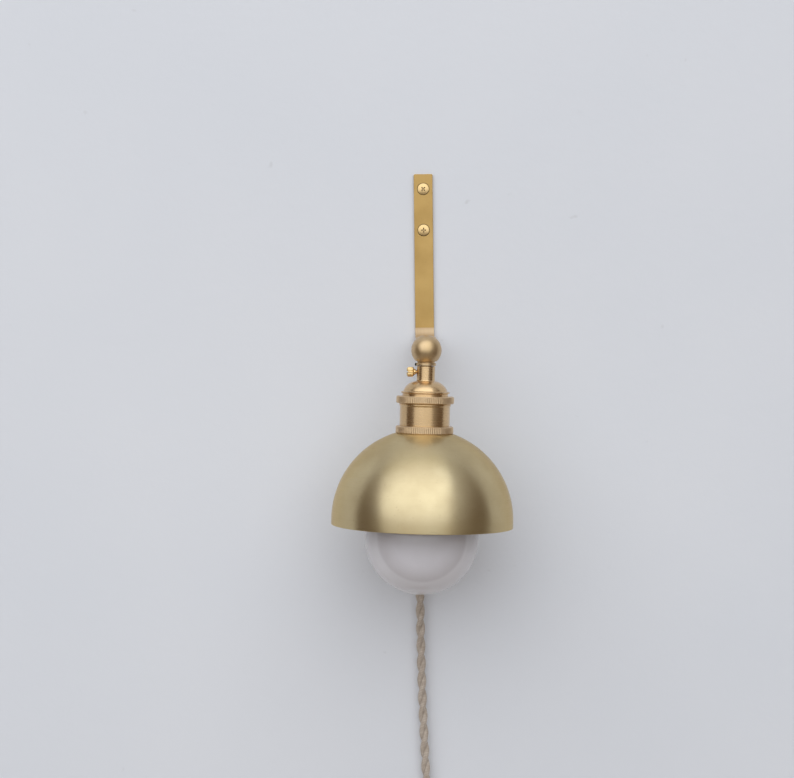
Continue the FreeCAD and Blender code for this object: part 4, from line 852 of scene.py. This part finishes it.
opal_glass, tree, shader = new_material("opal_glass")
place = object_place(tree, LAMP_FRAME)
film = noise(tree, place, 45.0, 4.0)
# The globe's tone follows how squarely it faces the view: paler at the rim and darker in a ring just inside
# it, a painted reflection of the bright wall and the dim room.
edge_on = tree.nodes.new("ShaderNodeLayerWeight")
edge_on.inputs["Blend"].default_value = 0.5
middle = mixed(tree, between(tree, edge_on.outputs["Facing"], 0.14, 0.35), (0.75, 0.73, 0.76, 1),
               (0.67, 0.645, 0.665, 1))
milk_and_painted_reflection = mixed(tree, between(tree, edge_on.outputs["Facing"], 0.345, 0.40), middle, (0.78, 0.76, 0.78, 1))
filmed = mixed(tree, between(tree, film, 0.35, 0.65, 0.0, 0.12), milk_and_painted_reflection, (0.50, 0.48, 0.47, 1))
feed_named(tree, shader, Base_Color=filmed, Roughness=varied(tree, place, 260.0, 0.05, 0.10),
           Normal=bumped(tree, noise(tree, place, 30.0, 2.0), 0.15), Specular_IOR_Level=0.4)
reach, side = GLOBE + BULB_FILLET, BULB_NECK + BULB_FILLET
drop = math.sqrt(reach ** 2 - side ** 2)
fillet_top = CAP_FOOT + NECK_STRAIGHT
globe_middle = fillet_top + drop
share, inner_share = GLOBE / reach, (GLOBE - GLOBE_WALL) / reach
stub = BULB_CAP - BULB_CAP_SKIN - 0.3
globe = turned_form([
    (stub - GLOBE_WALL, -CAP_FOOT + 11.0), (stub, -CAP_FOOT + 11.0), (stub, -CAP_FOOT - 0.3),
    (BULB_NECK, -fillet_top + 2.5), (BULB_NECK, -fillet_top),
    (side * share, drop * share - globe_middle, BULB_FILLET), (0.0, -globe_middle - GLOBE, -GLOBE),
    (0.0, -globe_middle - GLOBE + GLOBE_WALL),
    (side * inner_share, drop * inner_share - globe_middle, GLOBE - GLOBE_WALL),
    (BULB_NECK - GLOBE_WALL, -fillet_top, -BULB_FILLET - GLOBE_WALL),
    (BULB_NECK - GLOBE_WALL, -fillet_top + 2.2), (stub - GLOBE_WALL, -CAP_FOOT - 0.8)], soft=0.0, steps=160)
stand_in(put(globe, LAMP), "bulb_globe_blown", opal_glass, "opal_glass", "bulb", "bulb_globe")

screw_cap = rolled_thread(BULB_CAP, ROLL_DEEP, BULB_PITCH, -CAP_FOOT + 0.4, 4.2, BULB_CAP_SKIN)
stand_in(put(screw_cap, LAMP), "bulb_cap_rolled", terminal_nickel, "nickel_steel", "bulb", "bulb_cap")
paint(terminal_nickel, "bulb_tip")

black_glass = clouded_material("black_glass", 500.0, ((0.008, 0.008, 0.010, 1), (0.020, 0.019, 0.022, 1)),
                               300.0, (0.06, 0.16))
paint(black_glass, "bulb_insulator")

clear_glass, tree, shader = new_material("clear_glass")
place = object_place(tree)
feed_named(tree, shader, Base_Color=(0.92, 0.95, 0.94, 1), Transmission_Weight=1.0, IOR=1.5,
           Roughness=varied(tree, place, 200.0, 0.0, 0.06),
           Normal=bumped(tree, noise(tree, place, 90.0), 0.1))
paint(clear_glass, "bulb_stem")

filament = clouded_material("filament", 700.0, ((0.82, 0.52, 0.06, 1), (0.90, 0.66, 0.14, 1)), 1500.0,
                            (0.45, 0.65), 1800.0, 0.04)
paint(filament, "bulb_filaments")

# ---------------------------------------------------------------------------------------------
# Cord. Two cotton-covered conductors of 4.8 mm, twisted together to about 8 mm, 1.74 m from the grip
# to the plug's relief. It hangs close to the wall, and what is left is wound into a coil below the view.

CORD_WIDTH, STRAND, TWIST, CORD_START, CORD_LENGTH = 8.0, 4.8, 30.6, -56.5, 1.74
COIL_SIDE, COIL_MIDDLE, COIL_BACK = 19.0, -575.0, -5.8
COIL_OUTER, COIL_PITCH, COIL_LAYER, COIL_EASE = 49.6, 8.8, 8.8, 1.0195
TURNS_IN, CROSSING, TURN_POINTS = 2.25, 0.5, 16
TAIL_SIDE, TAIL_OUT, TAIL_END = 20.6, -14.3, -614.0

hanging_route = [
    (0.0, CORD_START, -BALL_DROP), (0.0, -40.0, -BALL_DROP), (-0.5, -24.0, -131.0), (-1.3, -14.0, -149.0),
    (-2.6, -9.2, -180.0), (-4.6, -7.4, -235.0), (-6.6, -6.8, -300.0), (-6.4, -7.0, -365.0),
    (-5.6, -6.7, -425.0), (-3.6, -7.0, -478.0), (-2.4, -6.6, -506.0), (3.5, -6.0, -524.0),
    (13.5, -5.6, -541.0), (COIL_SIDE, COIL_BACK, -557.0),
]
tail_route = [(COIL_SIDE, -14.6, -590.0), (TAIL_SIDE, TAIL_OUT, -601.0), (TAIL_SIDE, TAIL_OUT, TAIL_END)]


def coil_point(turns):
    """In along the wall's layer, over, and out again on the front layer."""
    past = turns - TURNS_IN
    if past <= 0:
        radius, lift = COIL_OUTER - COIL_PITCH * turns, 0.0
    elif past <= CROSSING:
        radius = COIL_OUTER - COIL_PITCH * (TURNS_IN + past - 2 * past * past)
        lift = past / CROSSING
    else:
        radius, lift = COIL_OUTER - COIL_PITCH * (TURNS_IN - past + CROSSING), 1.0
    radius *= COIL_EASE
    angle = -2 * math.pi * turns
    return (COIL_SIDE - COIL_OUTER + radius * math.cos(angle), COIL_BACK - COIL_LAYER * lift,
            COIL_MIDDLE + radius * math.sin(angle))


def swept(name, places, smoothness, radius=0.0):
    """The mesh of a smooth line through the places, as a round tube where it has a radius."""
    curve = bpy.data.curves.new(name, "CURVE")
    curve.dimensions, curve.resolution_u = "3D", smoothness
    curve.bevel_depth, curve.bevel_resolution, curve.use_fill_caps = radius, 4, True
    spline = curve.splines.new("NURBS")
    spline.points.add(len(places) - 1)
    for point, place in zip(spline.points, places):
        point.co = (*place, 1.0)
    spline.order_u, spline.use_endpoint_u = 3, True
    item = new_object(name, curve)
    bpy.context.view_layer.update()
    mesh = bpy.data.meshes.new_from_object(item)
    bpy.data.objects.remove(item)
    return mesh


coil_turns = 2 * TURNS_IN + CROSSING
coil_route = [coil_point(i / TURN_POINTS) for i in range(int(coil_turns * TURN_POINTS) + 1)]
route = [Vector(point) * MM for point in hanging_route + coil_route + tail_route]
centre_line = [v.co.copy() for v in swept("cord_route", route, 12).vertices]


def twisted_strand(name, start_angle):
    """One conductor, wound right-handed round the cord's middle."""
    offset = (CORD_WIDTH - STRAND) / 2 * MM
    step = TWIST * MM / 16
    side = Vector((1, 0, 0))
    places, along, next_stop = [], 0.0, 0.0
    for a, b in zip(centre_line, centre_line[1:]):
        run = b - a
        if run.length < 1e-7:
            continue
        heading = run.normalized()
        side = (side - heading * side.dot(heading)).normalized()
        while next_stop <= along + run.length:
            centre = a + heading * (next_stop - along)
            angle = start_angle + 2 * math.pi * next_stop / (TWIST * MM)
            turned = Matrix.Rotation(angle, 3, heading) @ side
            places.append(centre + turned * offset)
            next_stop += step
        along += run.length
    return swept(name, places, 1, STRAND / 2 * MM)


# The braid that covers each conductor: two sets of fine threads that cross over one another.
braid, braid_in, braid_out = shader_group(
    "cotton_braid",
    [("Along and Around", "vector"), ("Threads Along", "number"), ("Threads Around", "number")],
    [("Height", "number"), ("Shade", "number")])
split = axes(braid, braid_in["Along and Around"])
around = maths(braid, "MULTIPLY", split[1], braid_in["Threads Around"])
lengthways = maths(braid, "MULTIPLY", split[0], braid_in["Threads Along"])
rising, falling = [
    maths(braid, "SINE", maths(braid, "MULTIPLY", maths(braid, sign, lengthways, around), math.tau))
    for sign in ("ADD", "SUBTRACT")]
height = maths(braid, "MULTIPLY_ADD", maths(braid, "MULTIPLY", rising, falling), 0.5, 0.5)
feed(braid, braid_out["Height"], height)
# The Shade output is painted shade: the low places between the threads come out darker.
feed(braid, braid_out["Shade"], maths(braid, "POWER", height, 0.7))

cord_cloth, tree, shader = new_material("cord_cloth")
uv = tree.nodes.new("ShaderNodeUVMap")
uv.uv_map = "UVMap"
weave = placed_group(tree, braid, Along_and_Around=uv.outputs[0], Threads_Along=700.0, Threads_Around=7.0)
fuzz = noise(tree, object_place(tree), 260.0, 4.0)
thread_tone = mixed(tree, between(tree, fuzz, 0.3, 0.7), (0.47, 0.39, 0.31, 1), (0.70, 0.62, 0.53, 1))
# The weave's colour is darkened by painted shade in its low places.
woven_with_painted_shade = mixed(tree, weave["Shade"], (0.32, 0.245, 0.18, 1), thread_tone)
# The crevices between the two strands are painted dark brown: painted shade.
crevice_shade_mask = in_the_open(tree, 4.0, 0.25, 0.85)
feed_named(tree, shader, Base_Color=mixed(tree, crevice_shade_mask, (0.17, 0.12, 0.075, 1), woven_with_painted_shade),
           Normal=bumped(tree, weave["Height"], 0.3, 0.6),
           Roughness=between(tree, fuzz, 0.3, 0.7, 0.78, 0.92), Sheen_Weight=0.4, Sheen_Roughness=0.5)

cord_bm = bmesh.new()
cord_bm.from_mesh(twisted_strand("strand_one", 0.6))
cord_bm.from_mesh(twisted_strand("strand_two", 0.6 + math.pi))
bmesh.ops.remove_doubles(cord_bm, verts=cord_bm.verts[:], dist=1e-6)
cord_mesh = mesh_of(cord_bm, "cord")
cord_mesh.polygons.foreach_set("use_smooth", [True] * len(cord_mesh.polygons))
cord_mesh.materials.clear()
cord_mesh.materials.append(cord_cloth)
cord = new_object("cord", cord_mesh)
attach(cord, "bracket")
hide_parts("cord_run", "cord_coil", "cord_tail")

# ---------------------------------------------------------------------------------------------
# Tie. A loop of black woven tape, 9 mm wide and 1 mm thick, drawn round the wound turns of the cord at
# their top. It keeps the coil closed and slips off by hand.

TIE_WIDE, TIE_THICK, TIE_ROOM, CORD_RADIUS = 9.0, 1.0, 0.6, CORD_WIDTH / 2

tie_cloth, tree, shader = new_material("tie_cloth")
place = object_place(tree)
ribs = tree.nodes.new("ShaderNodeTexWave")
ribs.bands_direction = "X"
feed_named(tree, ribs, Vector=place, Scale=300.0, Distortion=0.8)
ribbed = ribs.outputs["Fac"]
feed_named(tree, shader, Base_Color=mixed(tree, ribbed, (0.030, 0.026, 0.022, 1), (0.075, 0.066, 0.056, 1)),
           Normal=bumped(tree, maths(tree, "ADD", ribbed, noise(tree, place, 1600.0)), 0.2),
           Roughness=varied(tree, place, 600.0, 0.7, 0.9), Sheen_Weight=0.3)
top = COIL_OUTER - COIL_PITCH * 0.25 + CORD_RADIUS + TIE_ROOM
foot = COIL_OUTER - COIL_PITCH * TURNS_IN - CORD_RADIUS - TIE_ROOM - 0.4
front, back, corner = COIL_LAYER + CORD_RADIUS + TIE_ROOM, CORD_RADIUS + TIE_ROOM, CORD_RADIUS
tie = bmesh.new()
for grow in (TIE_THICK, 0.0):
    turn = corner + grow
    trace(tie, [
        (back + grow, top - corner), (back - corner, top + grow, turn), (corner - front, top + grow),
        (-front - grow, top - corner, turn), (-front - grow, foot + corner),
        (corner - front, foot - grow, turn), (back - corner, foot - grow),
        (back + grow, foot + corner, turn)])
bmesh.ops.bridge_loops(tie, edges=tie.edges[:])
draw_out(tie, tie.faces[:], (0, TIE_WIDE, 0))
round_edges(tie, sharp_edges(tie, 60), 0.3)
put(tie, Matrix.Translation((COIL_SIDE - COIL_OUTER + TIE_WIDE / 2, COIL_BACK, COIL_MIDDLE))
    @ Matrix.Rotation(math.radians(90), 4, "Z"))
stand_in(tie, "coil_tie_tape", tie_cloth, "tie_cloth", "bracket", "coil_tie")

# ---------------------------------------------------------------------------------------------
# Plug. A moulded body that grows out of a ribbed strain relief round the cord's end, with two flat
# nickelled blades.

RELIEF_LENGTH, RELIEF_NARROW, RELIEF_WIDE = 24.0, 4.6, 7.2
RIBS, RIBBED, RIB_DEEP = 6, 19.0, 0.9
PLUG_LENGTH, PLUG_HALF_WIDTH, PLUG_HALF_THICK, PLUG_SOFT, SHOULDER = 32.0, 13.5, 10.0, 5.0, 9.0
BLADE_WIDTH, BLADE_THICK, BLADE_LENGTH, BLADE_GAP = 6.35, 1.5, 17.5, 12.7
BLADE_HOLE, HOLE_UP, BLADE_POINT = 1.6, 5.0, 1.2

plug_shell = clouded_material("plug_shell", 60.0, ((0.060, 0.040, 0.026, 1), (0.085, 0.058, 0.038, 1)), 900.0,
                              (0.38, 0.52), 2200.0, 0.02, spread=(0.35, 0.65))
TAIL = Matrix.Translation((TAIL_SIDE, TAIL_OUT, TAIL_END))
steps_down = []
for rib in range(RIBS):
    share = (rib + 0.5) / RIBS
    crest = RELIEF_NARROW + (RELIEF_WIDE - 0.6 - RELIEF_NARROW) * share
    low, high = -RIBBED * (rib + 1) / RIBS, -RIBBED * rib / RIBS
    steps_down += [(crest, high - 0.3), (crest, low + 1.0), (crest - RIB_DEEP, low + 0.8),
                   (crest - RIB_DEEP, low + 0.1)]
relief = turned_form([(0.0, 0.0), (0.0, -RELIEF_LENGTH), (RELIEF_WIDE, -RELIEF_LENGTH),
                      (RELIEF_WIDE, -RELIEF_LENGTH + 4.0)] + steps_down[::-1] + [(RELIEF_NARROW - 0.4, 0.0)],
                     soft=0.3, steps=48)
relief = stand_in(put(relief, TAIL), "plug_relief_ribbed", plug_shell, "plug_shell", "bracket", "plug_relief")

plug = box_form((2 * PLUG_HALF_WIDTH, 2 * PLUG_HALF_THICK, PLUG_LENGTH - SHOULDER),
                Matrix.Translation((0, 0, -RELIEF_LENGTH - (PLUG_LENGTH + SHOULDER) / 2)))
round_edges(plug, [e for e in plug.edges if abs(e.verts[0].co.z - e.verts[1].co.z) > 1.0], PLUG_SOFT, 6)
top_face = max(plug.faces, key=lambda f: f.calc_center_median().z)
for rise, width, thick in ((3.5, 0.94, 0.96), (3.0, 0.84, 0.90), (2.5, 0.72, 0.86)):
    raised = bmesh.ops.extrude_face_region(plug, geom=[top_face])
    bmesh.ops.delete(plug, geom=[top_face], context="FACES_ONLY")
    top_face = next(g for g in raised["geom"] if isinstance(g, bmesh.types.BMFace))
    bmesh.ops.translate(plug, vec=(0, 0, rise), verts=top_face.verts[:])
    bmesh.ops.scale(plug, vec=(width, thick, 1.0), verts=top_face.verts[:])
bmesh.ops.recalc_face_normals(plug, faces=plug.faces[:])
round_edges(plug, sharp_edges(plug, 50), 0.8, 3)
plug = stand_in(put(plug, TAIL), "plug_body_moulded", plug_shell, "plug_shell", "bracket", "plug_body")

nickel_blade, tree, shader = new_material("nickel_blade")
place = object_place(tree)
metal_face(tree, shader, place, stretched(tree, place, (3000.0, 3000.0, 90.0)), PALE_NICKEL,
           (0.54, 0.52, 0.48, 1), 0.24, 0.01)
blades = bmesh.new()
for side in (-1, 1):
    blade = box_form((BLADE_THICK, BLADE_WIDTH, BLADE_LENGTH), Matrix.Translation((0, 0, -BLADE_LENGTH / 2)))
    point = [e for e in blade.edges if all(v.co.z < -1 for v in e.verts)
             and abs(e.verts[0].co.x - e.verts[1].co.x) > 0.1]
    round_edges(blade, point, BLADE_POINT, 3)
    round_edges(blade, sharp_edges(blade, 40), 0.2)
    hole_place = Matrix.Translation((0, 0, -BLADE_LENGTH + HOLE_UP)) @ SIDEWAYS
    cut_away(blade, put(drill_form(BLADE_HOLE, -2.0, 2.0, 24), hole_place))
    join(blades, put(blade, Matrix.Translation((BLADE_GAP / 2 * side, 0, -RELIEF_LENGTH - PLUG_LENGTH))))
blades = stand_in(put(blades, TAIL), "plug_blade_pair", nickel_blade, "nickel_blade", "bracket",
                  "plug_blades")

# ---------------------------------------------------------------------------------------------
# Wall, floor and light. The wall is painted plaster with small scuffs; one large soft light stands
# in front of it, above the camera, and the room beside it is dim.

# In metres; the paint turns into the floor's tone between the two heights of FLOOR_TONE_AT.
WALL_HALF, WALL_TOP, FLOOR_AT, FLOOR_REACH, COVE = 2.4, 1.6, -1.7, 2.2, 0.25
FLOOR_TONE_AT = (-1.40, -1.60)

wall_paint, tree, shader = new_material("wall_paint")
place = object_place(tree)
plain_paint = mixed(tree, between(tree, noise(tree, place, 3.5, 6.0), 0.35, 0.65), (0.74, 0.755, 0.785, 1),
                    (0.765, 0.775, 0.80, 1))
scuff = between(tree, noise(tree, place, 42.0, 3.0, 0.6), 0.70, 0.76, 0.0, 0.5)
scuffed = mixed(tree, scuff, plain_paint, (0.60, 0.60, 0.61, 1))
on_floor = between(tree, axes(tree, place)[2], *FLOOR_TONE_AT)
feed_named(tree, shader, Base_Color=mixed(tree, on_floor, scuffed, (0.42, 0.37, 0.32, 1)), Roughness=0.7,
           Normal=bumped(tree, noise(tree, place, 90.0, 6.0), 1.0, 0.2))
one_sided = tree.nodes.new("ShaderNodeMixShader")
feed(tree, one_sided.inputs[0], tree.nodes.new("ShaderNodeNewGeometry").outputs["Backfacing"])
feed(tree, one_sided.inputs[1], shader.outputs[0])
feed(tree, one_sided.inputs[2], tree.nodes.new("ShaderNodeBsdfTransparent").outputs[0])
feed(tree, tree.nodes["Material Output"].inputs[0], one_sided.outputs[0])

wall_bm = bmesh.new()
foot = [wall_bm.verts.new((-WALL_HALF, y, z)) for y, z in
        ((0.0, WALL_TOP), (0.0, FLOOR_AT), (-FLOOR_REACH, FLOOR_AT))]
for pair in zip(foot, foot[1:]):
    wall_bm.edges.new(pair)
bmesh.ops.bevel(wall_bm, geom=[foot[1]], offset=COVE, segments=12, profile=0.5, affect="VERTICES",
                material=-1)
far_side = bmesh.ops.extrude_edge_only(wall_bm, edges=wall_bm.edges[:])
bmesh.ops.translate(wall_bm, vec=(2 * WALL_HALF, 0, 0),
                    verts=[v for v in far_side["geom"] if isinstance(v, bmesh.types.BMVert)])
bmesh.ops.recalc_face_normals(wall_bm, faces=wall_bm.faces[:])
if wall_bm.faces[0].normal.dot(Vector((0, -1, 0.1))) < 0:
    bmesh.ops.reverse_faces(wall_bm, faces=wall_bm.faces[:])
for face in wall_bm.faces:
    face.smooth = face.calc_area() < 1.0
wall_mesh = mesh_of(wall_bm, "wall_and_floor")
wall_mesh.materials.append(wall_paint)
wall = new_object("wall_and_floor", wall_mesh)

world = bpy.data.worlds.new("room")
bpy.context.scene.world = world
world.use_nodes = True
tree = world.node_tree
heading = axes(tree, tree.nodes.new("ShaderNodeTexCoord").outputs["Generated"])
# The room is bright ahead of the wall and above it, and dim elsewhere.
ahead = between(tree, maths(tree, "MULTIPLY_ADD", heading[1], -0.72,
                            maths(tree, "MULTIPLY", heading[2], 0.69)), 0.36, 0.96)
feed(tree, tree.nodes["Background"].inputs[0],
     mixed(tree, ahead, (0.16, 0.125, 0.10, 1), (0.88, 0.91, 0.96, 1)))
tree.nodes["Background"].inputs[1].default_value = 1.0

LIGHT_AT, LIGHT_AIM = Vector((-0.9, -2.4, 1.5)), Vector((-0.9, 0.0, -0.014))
light = bpy.data.lights.new("front_light", "AREA")
light.shape, light.size, light.size_y = "RECTANGLE", 6.0, 4.5
light.energy, light.color = 81.0, (0.94, 0.985, 1.04)
front_light = new_object("front_light", light)
front_light.location = LIGHT_AT
front_light.rotation_euler = (LIGHT_AIM - LIGHT_AT).to_track_quat("-Z", "Y").to_euler()
bpy.context.scene.view_settings.view_transform = "Standard"

# ---------------------------------------------------------------------------------------------
# Camera. It stands 1.76 m from the wall at the lamp's height, a little to the left, looks slightly
# down, and is rolled by a fraction of a degree.

FOCAL_PIXELS, PICTURE_WIDTH, SENSOR = 2000.0, 794, 36.0
CAMERA_AT = Vector((-24.8, -1757.5, -109.5)) * MM
CAMERA_DOWN = math.radians(1.547)
CAMERA_ROLL = math.radians(0.6)

camera_data = bpy.data.cameras.new("camera")
camera_data.sensor_width = SENSOR
camera_data.lens = SENSOR * FOCAL_PIXELS / PICTURE_WIDTH
camera_data.clip_end = 50.0
camera = new_object("camera", camera_data)
camera.matrix_world = (
    Matrix.Translation(CAMERA_AT)
    @ Matrix.Rotation(math.radians(90) - CAMERA_DOWN, 4, "X")
    @ Matrix.Rotation(-CAMERA_ROLL, 4, "Z")
)
bpy.context.scene.camera = camera
